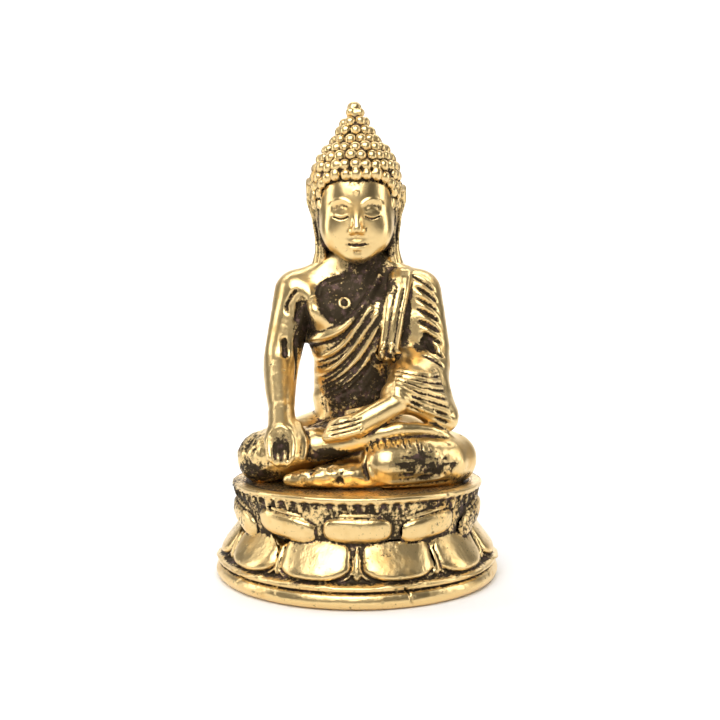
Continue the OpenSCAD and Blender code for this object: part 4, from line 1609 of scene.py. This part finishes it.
def paper_sweep():
    """A pale floor that curves up into a backdrop."""
    bm = bmesh.new()
    near, depth, bend, height, width = -420.0, 260.0, 120.0, 420.0, 1000.0
    outline = [(near, 0.0), (depth - bend, 0.0)]
    for a in np.linspace(0.1, 1.5, 12):
        outline.append((depth - bend + bend * math.sin(a), bend - bend * math.cos(a)))
    outline += [(depth, height)]
    verts = [bm.verts.new((-width / 2, y, z)) for y, z in outline]
    edges = [bm.edges.new(pair) for pair in zip(verts, verts[1:])]
    made = bmesh.ops.extrude_edge_only(bm, edges=edges)["geom"]
    new = [item for item in made if isinstance(item, bmesh.types.BMVert)]
    bmesh.ops.translate(bm, vec=(width, 0.0, 0.0), verts=new)
    bmesh.ops.recalc_face_normals(bm, faces=bm.faces)
    sweep = finish_piece(bm, "paper_sweep")
    sweep.location.z = -0.01 * MM
    return sweep


def paper():
    """White studio paper."""
    material = bpy.data.materials.new("Studio paper")
    material.use_nodes = True
    shader = material.node_tree.nodes["Principled BSDF"]
    shader.inputs["Base Color"].default_value = (0.93, 0.93, 0.93, 1.0)
    shader.inputs["Roughness"].default_value = 0.9
    return material


class STATUETTE_OT_stage(bpy.types.Operator):
    """Set up the paper sweep, the soft lights and the camera"""

    bl_idname = "statuette.stage"
    bl_label = "Stage"

    def execute(self, context):
        stage = context.scene.statuette_stage
        sweep = paper_sweep()
        sweep.data.materials.append(paper())
        self.light(stage)
        self.camera(context, stage)
        return {"FINISHED"}

    def light(self, stage):
        """A big overhead softbox in front, one at each side and one for the backdrop."""
        aim = (0.0, 0.0, 16.0)
        softbox("Key", (-18.0, -88.0, 94.0), aim, (120.0, 100.0), stage.key_power)
        softbox("Left", (-110.0, -10.0, 45.0), aim, (30.0, 80.0), stage.fill_power)
        softbox("Right", (110.0, -20.0, 45.0), aim, (30.0, 80.0), stage.fill_power)
        softbox("Paper", (0.0, 60.0, 190.0), (0.0, 260.0, 60.0), (400.0, 120.0), stage.paper_power)
        self.surround()

    def surround(self):
        """A soft surround, bright overhead and dim near the horizon."""
        world = bpy.data.worlds.new("Studio")
        world.use_nodes = True
        bpy.context.scene.world = world
        tree = world.node_tree
        shade = tree.nodes["Background"]
        where, split, level = add_nodes(
            tree, "ShaderNodeTexCoord", "ShaderNodeSeparateXYZ", "ShaderNodeMapRange")
        tree.links.new(where.outputs["Generated"], split.inputs["Vector"])
        tree.links.new(split.outputs["Z"], level.inputs["Value"])
        set_inputs(level, {"From Min": -0.1, "From Max": 0.8, "To Min": 0.19, "To Max": 0.72})
        tree.links.new(level.outputs["Result"], shade.inputs["Strength"])

    def camera(self, context, stage):
        """A level close-up camera in front."""
        lens = bpy.data.cameras.new("Camera")
        lens.sensor_width = 36.0
        lens.lens = 18.0 * stage.distance / stage.half_view
        lens.clip_start = 0.001
        lens.clip_end = 5.0
        eye = bpy.data.objects.new("Camera", lens)
        eye.location = Vector((stage.side_step, -stage.distance, stage.eye_height)) * MM
        eye.rotation_euler = (math.radians(90), 0.0, 0.0)
        context.collection.objects.link(eye)
        context.scene.camera = eye
        context.scene.view_settings.view_transform = "Standard"


# ---------------------------------------------------------------- add-on

STEPS = ("pedestal", "body", "head", "stage")

SETTINGS = {
    "statuette_pedestal": StatuettePedestal, "statuette_figure": StatuetteFigure,
    "statuette_finish": StatuetteFinish, "statuette_stage": StatuetteStage,
}


class STATUETTE_PT_panel(bpy.types.Panel):
    """The statuette's pieces and stage"""

    bl_idname = "STATUETTE_PT_panel"
    bl_label = "Statuette"
    bl_space_type = "VIEW_3D"
    bl_region_type = "UI"
    bl_category = "Statuette"

    def draw(self, context):
        column = self.layout.column()
        for step in STEPS:
            column.operator("statuette." + step)


CLASSES = (
    *SETTINGS.values(), STATUETTE_OT_pedestal, STATUETTE_OT_body, STATUETTE_OT_head,
    STATUETTE_OT_stage, STATUETTE_PT_panel,
)


def register():
    """Registers the classes and their settings."""
    for item in CLASSES:
        bpy.utils.register_class(item)
    for name, kind in SETTINGS.items():
        setattr(bpy.types.Scene, name, bpy.props.PointerProperty(type=kind))


def unregister():
    """Takes them away again."""
    for name in SETTINGS:
        delattr(bpy.types.Scene, name)
    for item in reversed(CLASSES):
        bpy.utils.unregister_class(item)


def main():
    """Makes every piece and the stage."""
    register()
    for step in STEPS:
        getattr(bpy.ops.statuette, step)()


if __name__ == "__main__":
    main()
